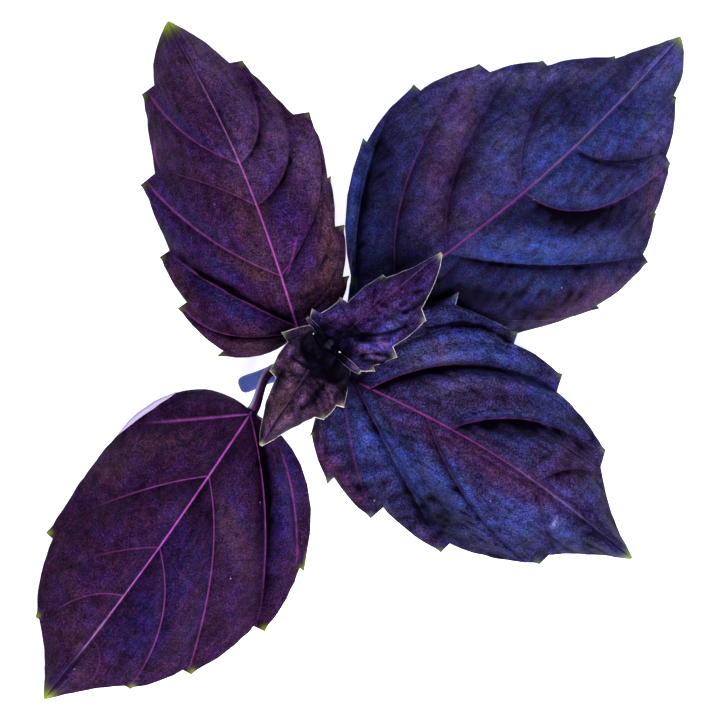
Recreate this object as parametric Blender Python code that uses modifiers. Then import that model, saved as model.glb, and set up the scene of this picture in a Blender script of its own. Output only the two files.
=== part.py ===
"""A cut sprig top of purple basil, lying crown up.

The square stem leans up from its cut end to the crown. Two crossed pairs of large leaves arch out
of it and droop until their tips and edges rest on the surface, a pair of young leaves lies over
them, and two folded bud leaves close round the shoot tip. Every leaf is one surface: a petiole
strip that opens into a blade whose rows follow the side veins.

Lengths below are in millimetres, +Z is up, and the finished sprig is centred over its lowest point.
"""

import math
from dataclasses import dataclass

import bpy
import numpy as np

MM = 0.001

BLADE_THICKNESS = 0.5
RIB_SHARE = 0.03            # half-width of the thick midrib, in half-widths of the blade
SEAT_GAP = 0.3              # between a petiole and the stem that carries it
TOOTH_LEAN = 0.45           # how far a notch lies beyond its tooth, in notch depths
TOOTH_SHARE = 0.12          # share of a lobe that its tooth's steep far side takes
LOBE_BULGE = 0.05           # usual rise of the margin between two teeth, in distances between them
VEIN_SWEEP = (0.40, 0.85)   # where a side vein bends forward, along and out
TIP_HALF_WIDTH = 0.3
DROOP_POWER = 1.7           # the blade stays level by the midrib and bends down towards its edge
QUILT = 0.13                # puff of the blade between two veins, in distances between them
PUFF_POWER = 0.8            # under 1, a puff rises steeply out of its veins
CHANNEL_SHARE = 0.12        # half-width of the channel along the midrib, in half-widths
EDGE_CALM = 0.6             # share of a puff that is gone at the margin
REST_SOFTNESS = 0.8         # how gently a drooping edge flattens on the surface
PETIOLE_ARCH = 0.35         # how early the petiole reaches the blade's height
ROWS_PER_PANEL = 4
PETIOLE_ROWS = 4
COLUMNS_PER_SIDE = 6
RIB_CROWDING = 1.5          # crowds the columns towards the midrib


@dataclass(frozen=True)
class Joint:
    """A node of the stem: where its centre is, and the stem's half-thickness there."""

    place: tuple
    radius: float


CUT_END = Joint((-19.4, -3.9, 1.75), 1.45)
LOWER_JOINT = Joint((-10.4, -0.4, 12.5), 1.9)
UPPER_JOINT = Joint((-6.4, 1.7, 18.6), 1.5)
YOUNG_JOINT = Joint((-5.0, 2.6, 23.4), 1.0)
SHOOT_END = Joint((-4.8, 2.9, 25.0), 0.6)
STEM_WAIST = 0.84           # the stem between two joints, in joint thicknesses
STEM_JOINTS = (CUT_END, LOWER_JOINT, UPPER_JOINT, YOUNG_JOINT, SHOOT_END)
STEM_CORNER = 0.45          # corner radius of the square stem, in half-thicknesses
CORNER_REACH = 1.30         # from the stem's axis to a rounded corner, in half-thicknesses
STEM_STEPS = 4              # sections between two joints of the stem
SHOOT_TIP_CENTRE = (-4.7, 3.0, 26.2)
SHOOT_TIP_RADIUS = 0.55
SHOOT_TIP_STRETCH = 1.4


@dataclass(frozen=True)
class Side:
    """One half of a blade: its outline from the petiole to the tip, and its edge's heights.

    A tooth is (along, out, notch depth), and a fourth number is the rise of the margin that leads
    to it. The shoulder is where the base corner turns, and the taper is the last lobe's rise.
    Each side vein ends at the reach given in vein_ends, counted in lobes from the petiole.
    The edge holds heights at even steps from the blade's base to its tip.
    """

    shoulder: tuple
    teeth: tuple
    vein_ends: tuple
    edge: tuple
    taper: float = LOBE_BULGE


@dataclass(frozen=True)
class Leaf:
    """One leaf, described along its midrib.

    base, heading and length place the blade in plan; bow is the midrib's sideways curve.
    veins are the places along the midrib where pairs of side veins start, and rib holds the
    midrib's heights at even steps from the blade's base to its tip.
    """

    name: str
    joint: Joint
    base: tuple
    heading: float
    length: float
    bow: float
    left: Side
    right: Side
    veins: tuple
    rib: tuple
    neck: float
    rib_thickness: float
    colour: tuple
    quilt: float = QUILT
    thickness: float = BLADE_THICKNESS
    leave: float = None     # direction in which the petiole leaves the stem, if not straight out


PURPLE = (0.055, 0.016, 0.060)
INDIGO = (0.028, 0.023, 0.110)
AUBERGINE = (0.038, 0.008, 0.045)
BROWN_PURPLE = (0.060, 0.026, 0.055)
VIOLET = (0.036, 0.022, 0.100)
STEM_BLUE = (0.055, 0.070, 0.270)

LEAVES = (
    Leaf(
        name="lower_leaf_northeast", joint=LOWER_JOINT, leave=32,
        base=(-3.7, 5.3), heading=40.4, length=75.5, bow=-2.8,
        rib=(13.2, 15.6, 13.2, 7.2, 1.0),
        veins=(3, 12, 21.5, 38, 51, 62),
        left=Side(
            shoulder=(4, 1.2),
            teeth=(
                (7, 4.2, 0), (23.5, 20.9, 0.5, 0.09), (35.5, 22.4, 1.3),
                (46, 18.3, 2.2), (54.6, 12, 1.2), (64.5, 4.8, 0.4),
            ),
            taper=0.0,
            vein_ends=(1.95, 2.95, 3.9, 4.5, 4.97, 5.6),
            edge=(12.0, 11.5, 9.0, 4.5, 0.8),
        ),
        right=Side(
            shoulder=(11, 17),
            teeth=((35.5, 25.4, 0.3), (46.5, 25, 1.4), (52.8, 19.8, 0.3), (60, 15, 1.4), (68, 7.3, 0.6)),
            taper=0.1,
            vein_ends=(0.6, 0.97, 1.97, 2.95, 3.9, 4.9),
            edge=(11.5, 7.5, 2.0, 2.5, 0.8),
        ),
        neck=1.0, rib_thickness=1.7, colour=INDIGO,
    ),
    Leaf(
        name="lower_leaf_southwest", joint=LOWER_JOINT, leave=195,
        base=(-17.7, -8.3), heading=-126, length=59.7, bow=0.8,
        rib=(12.4, 12.8, 10.0, 5.0, 1.0),
        veins=(0.6, 12.7, 27, 37.5, 47.5),
        left=Side(
            shoulder=(-0.5, 16),
            teeth=((16.5, 22.2, 0.5), (28.5, 23, 1.8), (41.5, 17.4, 1.4), (49.5, 10.8, 1.1)),
            taper=-0.03,
            vein_ends=(1.97, 2.97, 3.95, 4.25, 4.6),
            edge=(9.0, 3.2, 1.2, 1.0, 0.8),
        ),
        right=Side(
            shoulder=(2, 20),
            teeth=((36.5, 15.7, 1.1), (49, 9.3, 0.8)),
            taper=-0.04,
            vein_ends=(0.55, 0.88, 1.35, 1.9, 2.5),
            edge=(10.0, 6.5, 4.0, 2.0, 0.8),
        ),
        neck=0.95, rib_thickness=1.6, colour=AUBERGINE,
    ),
    Leaf(
        name="upper_leaf_northwest", joint=UPPER_JOINT, leave=150,
        base=(-10.0, 4.2), heading=113, length=57, bow=-1.9,
        rib=(19.4, 20.6, 16.5, 9.0, 1.0),
        veins=(0.8, 4, 9.7, 22, 30, 40.5),
        left=Side(
            shoulder=(-2.5, 7),
            teeth=(
                (2, 13.5, 0.9), (11.5, 16.5, 1.5), (20.5, 16.2, 1.7),
                (33, 14.5, 2.6, 0), (47, 8.6, 2.3, 0),
            ),
            taper=0.08,
            vein_ends=(1.85, 2.95, 3.95, 4.45, 4.97, 5.35),
            edge=(16.5, 12.5, 7.0, 3.0, 0.8),
        ),
        right=Side(
            shoulder=(0, 8),
            teeth=(
                (5.5, 11, 0.8), (13.4, 13.5, 1.4), (21.7, 14.6, 0.3),
                (33, 15.5, 2.3), (45.5, 8.8, 2.0, 0),
            ),
            taper=0.04,
            vein_ends=(0.9, 1.9, 3.4, 3.95, 4.97, 5.4),
            edge=(17.0, 15.5, 10.5, 5.0, 0.8),
        ),
        neck=0.9, rib_thickness=1.5, colour=PURPLE,
    ),
    Leaf(
        name="upper_leaf_southeast", joint=UPPER_JOINT, leave=-60,
        base=(-3.7, -2.0), heading=-32.3, length=58, bow=2.4,
        rib=(19.2, 19.6, 15.5, 8.5, 1.0),
        veins=(0.4, 1.5, 4.2, 18.5, 36.5, 45.6),
        left=Side(
            shoulder=(2.5, 13),
            teeth=((9.5, 21.3, 1.6), (21, 21.3, 1.8, 0.02), (31, 19.5, 2.8), (44, 13, 2.8)),
            taper=-0.05,
            vein_ends=(0.75, 1.9, 2.97, 3.5, 4.05, 4.45),
            edge=(17.8, 15.4, 9.5, 4.5, 0.8),
        ),
        right=Side(
            shoulder=(-0.5, 6),
            teeth=((1.6, 11, 0.1), (8, 16, 1.1), (17, 17.4, 2.5), (30, 16, 1.8), (45, 9.1, 2.2)),
            taper=-0.03,
            vein_ends=(1.95, 2.9, 3.5, 3.97, 4.97, 5.5),
            edge=(15.5, 9.0, 4.5, 2.0, 0.8),
        ),
        neck=0.9, rib_thickness=1.5, colour=INDIGO,
    ),
    Leaf(
        name="young_leaf_southwest", joint=YOUNG_JOINT,
        base=(-6.7, 1.3), heading=-122.7, length=18.1, bow=0.0,
        rib=(23.9, 24.0, 22.0, 19.0, 15.0),
        veins=(0.9, 4.6, 9.5),
        left=Side(
            shoulder=(0.5, 6),
            teeth=((5.2, 8, 1.1), (8.6, 6.4, 1.5)),
            taper=-0.01,
            vein_ends=(0.95, 1.9, 2.35),
            edge=(23.8, 22.6, 20.2, 17.6, 15.0),
        ),
        right=Side(
            shoulder=(-3, 4.5),
            teeth=((0.5, 6.9, 1.6), (6.6, 5.2, 1.3)),
            vein_ends=(0.97, 1.9, 2.35),
            edge=(24.0, 23.2, 20.8, 18.0, 15.0),
        ),
        neck=0.8, rib_thickness=0.9, colour=BROWN_PURPLE, quilt=0.08, thickness=0.45,
    ),
    Leaf(
        name="young_leaf_northeast", joint=YOUNG_JOINT,
        base=(-3.4, 4.0), heading=39.6, length=22.1, bow=0.0,
        rib=(23.9, 24.8, 24.0, 21.8, 19.0),
        veins=(0.6, 2.9, 7.2, 12.8),
        left=Side(
            shoulder=(-2.5, 4),
            teeth=((-0.5, 6.2, 1.3), (4.1, 4.8, 1.4, -0.05), (11.8, 3.3, 0.6)),
            taper=-0.03,
            vein_ends=(0.9, 1.9, 2.95, 3.4),
            edge=(23.8, 23.0, 22.0, 20.8, 19.0),
        ),
        right=Side(
            shoulder=(-1, 6.5),
            teeth=((5.1, 8.3, 1.6), (12.5, 6.8, 2.0)),
            vein_ends=(0.5, 0.95, 1.95, 2.4),
            edge=(23.4, 22.6, 21.4, 20.4, 19.0),
        ),
        neck=0.8, rib_thickness=0.9, colour=VIOLET, quilt=0.08, thickness=0.45,
    ),
    Leaf(
        name="bud_leaf_northwest", joint=SHOOT_END,
        base=(-5.9, 4.1), heading=134, length=3.9, bow=0.0,
        rib=(25.25, 25.8, 26.1, 26.1, 25.9),
        veins=(1.4,),
        left=Side(
            shoulder=(-0.2, 0.8), teeth=((1.6, 0.85, 0.1),), vein_ends=(0.9,),
            edge=(25.7, 27.2, 27.8, 27.3, 26.1),
        ),
        right=Side(
            shoulder=(-0.2, 0.7), teeth=((1.6, 0.85, 0.1),), vein_ends=(0.9,),
            edge=(25.7, 27.0, 27.5, 27.1, 26.1),
        ),
        neck=0.45, rib_thickness=0.5, colour=VIOLET, quilt=0.0, thickness=0.35,
    ),
    Leaf(
        name="bud_leaf_southeast", joint=SHOOT_END,
        base=(-4.0, 1.5), heading=-40, length=5.0, bow=0.4,
        rib=(25.25, 25.8, 25.9, 25.3, 24.4),
        veins=(1.8,),
        left=Side(
            shoulder=(-0.2, 0.9), teeth=((2.0, 0.95, 0.1),), vein_ends=(0.9,),
            edge=(25.7, 27.4, 27.6, 26.5, 24.6),
        ),
        right=Side(
            shoulder=(-0.2, 0.9), teeth=((2.0, 0.95, 0.1),), vein_ends=(0.9,),
            edge=(25.7, 27.2, 27.3, 26.2, 24.6),
        ),
        neck=0.45, rib_thickness=0.5, colour=VIOLET, quilt=0.0, thickness=0.35,
    ),
)


def bezier(start, bend, end, t):
    """Quadratic curve from start to end pulled towards bend; t has a trailing axis of length 1."""
    return (1 - t) ** 2 * start + 2 * t * (1 - t) * bend + t ** 2 * end


def lobes(leaf, side):
    """Start, bend and end of each lobe of one margin, from the petiole to the tip.

    The first lobe turns at the shoulder. Each later lobe starts in its tooth's notch and
    rises by a share of its own length on the way to the next tooth.
    """
    ends = [(tooth[0], tooth[1]) for tooth in side.teeth] + [(leaf.length, TIP_HALF_WIDTH)]
    starts = [(0.0, leaf.neck)]
    starts += [(tooth[0] + TOOTH_LEAN * tooth[2], tooth[1] - tooth[2]) for tooth in side.teeth]
    rises = [tooth[3] if len(tooth) > 3 else LOBE_BULGE for tooth in side.teeth] + [side.taper]
    starts, ends, rises = np.array(starts), np.array(ends), np.array(rises)
    chords = ends - starts
    outward = np.stack([-chords[:, 1], chords[:, 0]], axis=1)
    bends = (starts + ends) / 2 + 2 * rises[:, None] * outward
    bends[0] = side.shoulder
    return starts, bends, ends


def margin(leaf, side, reach):
    """Plan points of one margin at the given reaches, counted in lobes from the petiole.

    Within a lobe the margin follows its curve up to the tooth, then drops to the next notch
    over the last TOOTH_SHARE of the lobe.
    """
    starts, bends, ends = lobes(leaf, side)
    last = len(ends) - 1
    index = np.clip(np.floor(reach).astype(int), 0, last)
    part = reach - index
    climb = np.where(index < last, 1 - TOOTH_SHARE, 1.0)
    t = np.clip(part / climb, 0, 1)[:, None]
    on_lobe = bezier(starts[index], bends[index], ends[index], t)
    drop = np.clip((part - climb) / TOOTH_SHARE, 0, 1)[:, None]
    following = np.minimum(index + 1, last)
    return np.where(drop > 0, on_lobe + drop * (starts[following] - ends[index]), on_lobe)


def row_reaches(side, steps):
    """Reach of each row on one side: even steps between the veins, with rows set on every tooth."""
    knots = [0.0, *side.vein_ends, len(side.teeth) + 1.0]
    reach = np.interp(steps, np.arange(len(knots)), knots)
    for tooth in range(1, len(side.teeth) + 1):
        point = np.argmin(np.abs(reach - (tooth - TOOTH_SHARE)))
        reach[point] = tooth - TOOTH_SHARE
        if point + 1 < len(reach) - 1:
            reach[point + 1] = np.clip(reach[point + 1], tooth, tooth + TOOTH_SHARE)
    return reach


def heights(levels, along, length):
    """Heights at the given distances along the blade, eased between evenly spaced levels."""
    place = np.clip(along / length, 0, 1) * (len(levels) - 1)
    index = np.minimum(place.astype(int), len(levels) - 2)
    levels = np.array(levels)
    padded = np.concatenate([[2 * levels[0] - levels[1]], levels, [2 * levels[-1] - levels[-2]]])
    before, low, high, after = (padded[index + k] for k in range(4))
    t = place - index
    return 0.5 * (
        2 * low + (high - before) * t
        + (2 * before - 5 * low + 4 * high - after) * t ** 2
        + (3 * low - before - 3 * high + after) * t ** 3
    )


def in_leaf_frame(leaf, point):
    """A sprig position seen from the blade's base, with x along the leaf and y to its left."""
    turn = math.radians(leaf.heading)
    dx, dy = point[0] - leaf.base[0], point[1] - leaf.base[1]
    return np.array([dx * math.cos(turn) + dy * math.sin(turn), dy * math.cos(turn) - dx * math.sin(turn)])


def in_sprig_frame(leaf, plan):
    """Leaf plan points turned to the leaf's heading and moved to its base."""
    turn = math.radians(leaf.heading)
    x = leaf.base[0] + plan[..., 0] * math.cos(turn) - plan[..., 1] * math.sin(turn)
    y = leaf.base[1] + plan[..., 0] * math.sin(turn) + plan[..., 1] * math.cos(turn)
    return x, y


def stem_reach(joint, direction):
    """How far the leaning stem reaches from a joint's centre along a level line in the direction.

    A line across the stem leaves it after its half-thickness to a corner, and one that runs
    more along the stem leaves it later.
    """
    index = STEM_JOINTS.index(joint)
    below = np.array(STEM_JOINTS[max(index - 1, 0)].place)
    above = np.array(STEM_JOINTS[min(index + 1, len(STEM_JOINTS) - 1)].place)
    axis = (above - below) / np.linalg.norm(above - below)
    turn = math.radians(direction)
    along = math.cos(turn) * axis[0] + math.sin(turn) * axis[1]
    return CORNER_REACH * joint.radius / math.sqrt(1 - along ** 2)


def petiole(leaf, t):
    """Centre and sideways direction of the petiole at t from 0, at the stem, to 1, at the blade."""
    joint = in_leaf_frame(leaf, leaf.joint.place)
    straight = math.degrees(math.atan2(-joint[1], -joint[0])) + leaf.heading
    leave = straight if leaf.leave is None else leaf.leave
    turn = math.radians(leave - leaf.heading)
    out = np.array([math.cos(turn), math.sin(turn)])
    start = joint + (stem_reach(leaf.joint, leave) + SEAT_GAP) * out
    reach = np.hypot(*start) / 3
    handles = start, start + reach * out, np.array([-reach, 0.0]), np.zeros(2)
    t = t[:, None]
    centre = (
        (1 - t) ** 3 * handles[0] + 3 * t * (1 - t) ** 2 * handles[1]
        + 3 * t ** 2 * (1 - t) * handles[2] + t ** 3 * handles[3]
    )
    ahead = (1 - t) * out + t * np.array([1.0, 0.0])
    ahead /= np.linalg.norm(ahead, axis=1, keepdims=True)
    return centre, np.stack([-ahead[:, 1], ahead[:, 0]], axis=1)


def blade_heights(leaf, half, steps, along, ends, side, panel):
    """Height of each point of one side: midrib to edge, puffed between veins, resting at zero.

    side runs from 0 at the midrib to 1 at the margin, and panel is the width of the panel
    between two veins at that point.
    """
    rib = heights(leaf.rib, along, leaf.length)
    rim = heights(half.edge, ends[:, 0], leaf.length)
    height = rib + (rim - rib) * side ** DROOP_POWER
    between = np.abs(np.sin(math.pi * steps)) ** PUFF_POWER
    rise = (1 - np.exp(-side / CHANNEL_SHARE)) * (1 - EDGE_CALM * side ** 3)
    height += leaf.quilt * panel * between * rise
    return 0.5 * (height + np.sqrt(height ** 2 + REST_SOFTNESS ** 2))


def leaf_grid(leaf):
    """Positions and thicknesses on the leaf's grid, rows from the stem to the tip, columns right to left."""
    panels = len(leaf.veins) + 1
    steps = np.linspace(0, panels, panels * ROWS_PER_PANEL + 1)
    stations = [0.0, *leaf.veins, leaf.length]
    along = np.interp(steps, np.arange(len(stations)), stations)
    bow = leaf.bow * np.sin(math.pi * along / leaf.length)
    mid = np.stack([along, bow], axis=1)

    columns = np.linspace(-1, 1, 2 * COLUMNS_PER_SIDE + 1)
    across = np.sign(columns) * np.abs(columns) ** RIB_CROWDING
    rows = PETIOLE_ROWS + len(steps)
    grid = np.zeros((rows, len(columns), 3))

    t = np.linspace(0, 1, PETIOLE_ROWS, endpoint=False)
    centre, sideways = petiole(leaf, t)
    plan = centre[:, None] + leaf.neck * across[None, :, None] * sideways[:, None]
    grid[:PETIOLE_ROWS, :, 0], grid[:PETIOLE_ROWS, :, 1] = in_sprig_frame(leaf, plan)
    climb = t + PETIOLE_ARCH * np.sin(math.pi * t)
    start = leaf.joint.place[2] + leaf.rib_thickness / 2
    grid[:PETIOLE_ROWS, :, 2] = (start + (leaf.rib[0] - start) * np.clip(climb, 0, 1))[:, None]

    for sign, half in ((1, leaf.left), (-1, leaf.right)):
        ends = margin(leaf, half, row_reaches(half, steps)) * (1, sign)
        bend = mid + (ends - mid) * VEIN_SWEEP
        at_knots = (mid[::ROWS_PER_PANEL], bend[::ROWS_PER_PANEL], ends[::ROWS_PER_PANEL])
        for index in np.flatnonzero(sign * across >= 0):
            side = abs(across[index])
            plan = bezier(mid, bend, ends, side)
            grid[PETIOLE_ROWS:, index, 0], grid[PETIOLE_ROWS:, index, 1] = in_sprig_frame(leaf, plan)
            veins = bezier(*at_knots, side)
            widths = np.linalg.norm(np.diff(veins, axis=0), axis=1)
            panel = widths[np.minimum(steps.astype(int), panels - 1)]
            grid[PETIOLE_ROWS:, index, 2] = blade_heights(leaf, half, steps, along, ends, side, panel)

    taper = np.concatenate([np.zeros(PETIOLE_ROWS), along / leaf.length])
    rib = leaf.thickness + (leaf.rib_thickness - leaf.thickness) * (1 - taper)[:, None]
    width = np.where(np.arange(rows) < PETIOLE_ROWS, 1.0, RIB_SHARE)[:, None]
    share = np.exp(-(across[None, :] / width) ** 2)
    return grid, leaf.thickness + (rib - leaf.thickness) * share


def material(name, colour, roughness):
    """A plain Principled finish."""
    finish = bpy.data.materials.new(name)
    finish.use_nodes = True
    shader = finish.node_tree.nodes["Principled BSDF"]
    shader.inputs["Base Color"].default_value = (*colour, 1.0)
    shader.inputs["Roughness"].default_value = roughness
    shader.inputs["Metallic"].default_value = 0.0
    finish.diffuse_color = (*colour, 1.0)
    return finish


def take_into(collection, obj, parent, finish):
    """Moves an object to the sprig's collection, parents it to its empty and gives it its finish."""
    for holder in obj.users_collection:
        holder.objects.unlink(obj)
    collection.objects.link(obj)
    obj.parent = parent
    obj.data.materials.append(finish)


def make_leaf(leaf, collection, parent):
    """A grid bent to the leaf's surface and thickened downwards, most along the midrib."""
    grid, thickness = leaf_grid(leaf)
    rows, columns = thickness.shape
    bpy.ops.mesh.primitive_grid_add(x_subdivisions=columns - 1, y_subdivisions=rows - 1, size=1)
    obj = bpy.context.object
    obj.name = obj.data.name = leaf.name
    # The grid's vertices run row by row; its x would run left to right, so the columns turn round.
    points = grid[:, ::-1] * MM
    obj.data.vertices.foreach_set("co", points.reshape(-1))
    obj.data.update()
    group = obj.vertex_groups.new(name="thickness")
    most = thickness.max()
    for index, share in enumerate((thickness[:, ::-1] / most).reshape(-1)):
        group.add([index], float(share), "REPLACE")
    solidify = obj.modifiers.new("thickness", "SOLIDIFY")
    solidify.thickness = most * MM
    solidify.offset = -1
    solidify.vertex_group = group.name
    obj.data.shade_smooth()
    take_into(collection, obj, parent, material(leaf.name, leaf.colour, 0.45))
    return obj


def stem_profile(collection):
    """The stem's square section with rounded corners, as a guide curve of half-thickness 1."""
    curve = bpy.data.curves.new("stem_section", "CURVE")
    spline = curve.splines.new("POLY")
    centre = 1 - STEM_CORNER
    # Four arcs of three points, run clockwise so that the swept sides face out.
    turns = np.radians(np.arange(360, 0, -30) - 15)
    around = np.stack([np.cos(turns), np.sin(turns)], axis=1)
    points = np.sign(around) * centre + STEM_CORNER * around
    spline.points.add(len(points) - 1)
    for point, (x, y) in zip(spline.points, points):
        point.co = (x * MM, y * MM, 0, 1)
    spline.use_cyclic_u = True
    guide = bpy.data.objects.new("stem_section", curve)
    collection.objects.link(guide)
    guide.hide_render = True
    guide.display_type = "WIRE"
    return guide


def make_stem(collection, guides, parent):
    """The stem as one tapering curve through its joints, thicker at each and waisted between."""
    spans = len(STEM_JOINTS) - 1
    place = np.linspace(0, spans, spans * STEM_STEPS + 1)
    spots = np.array([joint.place for joint in STEM_JOINTS])
    route = np.stack([heights(spots[:, axis], place, spans) for axis in range(3)], axis=1)
    radius = np.interp(place, np.arange(spans + 1), [joint.radius for joint in STEM_JOINTS])
    radius *= STEM_WAIST + (1 - STEM_WAIST) * np.cos(math.pi * place) ** 4
    curve = bpy.data.curves.new("main_stem", "CURVE")
    curve.dimensions = "3D"
    curve.bevel_mode = "OBJECT"
    curve.bevel_object = stem_profile(guides)
    curve.use_fill_caps = True
    spline = curve.splines.new("POLY")
    spline.points.add(len(route) - 1)
    for point, (x, y, z), size in zip(spline.points, route, radius):
        point.co = (x * MM, y * MM, z * MM, 1)
        point.radius = size
    stem = bpy.data.objects.new("main_stem", curve)
    take_into(collection, stem, parent, material("main_stem", STEM_BLUE, 0.5))
    return stem


def make_shoot_tip(collection, parent):
    """The shoot tip between the bud leaves, a pointed egg standing on the stem."""
    bpy.ops.mesh.primitive_uv_sphere_add(segments=12, ring_count=8, radius=SHOOT_TIP_RADIUS * MM)
    tip = bpy.context.object
    tip.name = tip.data.name = "shoot_tip"
    tip.location = [value * MM for value in SHOOT_TIP_CENTRE]
    tip.scale = (1, 1, SHOOT_TIP_STRETCH)
    tip.data.shade_smooth()
    take_into(collection, tip, parent, material("shoot_tip", VIOLET, 0.5))
    return tip


def lowest_and_highest(objects):
    """Corners of the box round the objects' finished meshes."""
    graph = bpy.context.evaluated_depsgraph_get()
    corners = []
    for obj in objects:
        shape = obj.evaluated_get(graph)
        mesh = shape.to_mesh()
        points = np.empty(len(mesh.vertices) * 3, np.float32)
        mesh.vertices.foreach_get("co", points)
        world = np.array(shape.matrix_world)
        corners.append(points.reshape(-1, 3) @ world[:3, :3].T + world[:3, 3])
        shape.to_mesh_clear()
    points = np.concatenate(corners)
    return points.min(axis=0), points.max(axis=0)


def main():
    """Clears the scene and builds the sprig, standing on the middle of its own box."""
    for obj in list(bpy.data.objects):
        bpy.data.objects.remove(obj)
    sprig = bpy.data.collections.new("purple_basil_sprig")
    guides = bpy.data.collections.new("guides")
    for collection in (sprig, guides):
        bpy.context.scene.collection.children.link(collection)
    centre = bpy.data.objects.new("sprig_centre", None)
    sprig.objects.link(centre)

    pieces = [make_stem(sprig, guides, centre), make_shoot_tip(sprig, centre)]
    pieces += [make_leaf(leaf, sprig, centre) for leaf in LEAVES]

    bpy.context.view_layer.update()
    low, high = lowest_and_highest(pieces)
    middle = (low + high) / 2
    centre.location = (-middle[0], -middle[1], -low[2])


main()
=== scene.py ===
"""Looks of a cut sprig of purple basil that lies crown up, seen from straight above.

Each leaf is one closed surface. Its rows run from the midrib to the margin along the side veins,
so the veins, the puffs of blade between them and the teeth all follow the leaf as they do on the
plant. Lengths in the descriptions are millimetres, and a metre is the scene's unit.
"""

from __future__ import annotations

import logging
import math
from dataclasses import dataclass
from enum import Enum
from functools import partial

import bpy
import numpy as np
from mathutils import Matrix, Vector

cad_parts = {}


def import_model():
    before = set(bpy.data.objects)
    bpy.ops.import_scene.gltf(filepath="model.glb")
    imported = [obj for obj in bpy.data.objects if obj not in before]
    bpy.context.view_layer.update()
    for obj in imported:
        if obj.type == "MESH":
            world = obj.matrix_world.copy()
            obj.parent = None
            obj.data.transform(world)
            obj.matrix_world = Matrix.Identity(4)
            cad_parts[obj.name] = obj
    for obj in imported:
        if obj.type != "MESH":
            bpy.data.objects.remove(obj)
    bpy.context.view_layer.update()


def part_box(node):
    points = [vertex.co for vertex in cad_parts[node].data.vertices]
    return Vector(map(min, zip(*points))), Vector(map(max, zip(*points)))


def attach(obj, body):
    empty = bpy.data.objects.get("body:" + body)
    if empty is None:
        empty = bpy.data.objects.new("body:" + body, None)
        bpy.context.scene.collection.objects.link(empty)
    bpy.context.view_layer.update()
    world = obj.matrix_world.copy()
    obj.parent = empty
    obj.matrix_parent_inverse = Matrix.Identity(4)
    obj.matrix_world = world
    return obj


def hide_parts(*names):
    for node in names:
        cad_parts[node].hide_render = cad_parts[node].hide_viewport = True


LOG = logging.getLogger("basil_sprig")
MM = 0.001
BODY = "root"

Array = np.ndarray
Pair = tuple[float, float]
Row = tuple[float, ...]


# --------------------------------------------------------------------------- small helpers


def linear(code: str) -> tuple[float, float, float, float]:
    """Turns an sRGB hex colour into linear red, green, blue and an alpha of 1.

    Args:
        code: The colour as six hex digits after a hash.

    Returns:
        Linear red, green and blue, and alpha.
    """
    parts = [int(code[i : i + 2], 16) / 255 for i in (1, 3, 5)]
    red, green, blue = (p / 12.92 if p <= 0.04045 else ((p + 0.055) / 1.055) ** 2.4 for p in parts)
    return red, green, blue, 1.0


def bezier(start: Array, bend: Array, end: Array, t: Array) -> Array:
    """A quadratic curve: (1-t)^2 start + 2t(1-t) bend + t^2 end.

    Args:
        start: Where the curve starts.
        bend: The point that pulls it.
        end: Where it ends.
        t: How far along it, 0 to 1, shaped to broadcast against the points.

    Returns:
        The points on the curve.
    """
    return (1 - t) ** 2 * start + 2 * t * (1 - t) * bend + t**2 * end


def eased(levels: tuple[float, ...], share: Array) -> Array:
    """A Catmull-Rom curve through evenly spaced levels.

    Args:
        levels: The values at even steps.
        share: Where to read the curve, 0 at the first level and 1 at the last.

    Returns:
        The value at each share.
    """
    place = np.clip(share, 0, 1) * (len(levels) - 1)
    index = np.minimum(place.astype(int), len(levels) - 2)
    values = np.array(levels, float)
    padded = np.concatenate([[2 * values[0] - values[1]], values, [2 * values[-1] - values[-2]]])
    before, low, high, after = (padded[index + k] for k in range(4))
    t = place - index
    return 0.5 * (
        2 * low
        + (high - before) * t
        + (2 * before - 5 * low + 4 * high - after) * t**2
        + (3 * low - before - 3 * high + after) * t**3
    )


def ripple(x: Array, y: Array, size: float, seed: int) -> Array:
    """Smooth noise from -1 to 1: random values on a square lattice, eased between its corners.

    Args:
        x: First coordinate.
        y: Second coordinate.
        size: The lattice's spacing.
        seed: Chooses the random values.

    Returns:
        The noise at each point.
    """
    table = np.random.default_rng(seed).uniform(-1, 1, (64, 64))
    gx, gy = x / size + 500, y / size + 500
    ix, iy = np.floor(gx).astype(int), np.floor(gy).astype(int)
    fx, fy = gx - ix, gy - iy
    fx, fy = fx * fx * (3 - 2 * fx), fy * fy * (3 - 2 * fy)
    corner = [[table[(ix + i) % 64, (iy + j) % 64] for j in (0, 1)] for i in (0, 1)]
    near = corner[0][0] * (1 - fx) + corner[1][0] * fx
    far = corner[0][1] * (1 - fx) + corner[1][1] * fx
    return near * (1 - fy) + far * fy


def bell(distance: Array, width: float | Array) -> Array:
    """A smooth bump of height 1: exp of minus the distance over the width, squared."""
    return np.exp(-((distance / width) ** 2))


def smoothed(rows: Array, span: int) -> Array:
    """Averages each row of points with its neighbours, the near ones most.

    Args:
        rows: One point per row.
        span: How many rows are averaged, an odd number.

    Returns:
        The smoothed points.
    """
    weights = np.hanning(span + 2)[1:-1]
    padded = np.pad(rows, ((span // 2, span // 2), (0, 0)), mode="edge")
    columns = [np.convolve(padded[:, axis], weights / weights.sum(), "valid") for axis in (0, 1)]
    return np.stack(columns, axis=1)


def distance_to_curve(points: Array, curve: Array) -> Array:
    """Shortest distance from each point to a chain of straight segments.

    Args:
        points: Plan points, with x and y last.
        curve: The chain's corners in order.

    Returns:
        One distance per point.
    """
    starts, spans = curve[:-1], np.diff(curve, axis=0)
    offset = points[..., None, :] - starts
    share = (offset * spans).sum(-1) / np.maximum((spans**2).sum(-1), 1e-9)
    nearest = offset - np.clip(share, 0, 1)[..., None] * spans
    return np.linalg.norm(nearest, axis=-1).min(axis=-1)


# --------------------------------------------------------------------------- meshes


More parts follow.
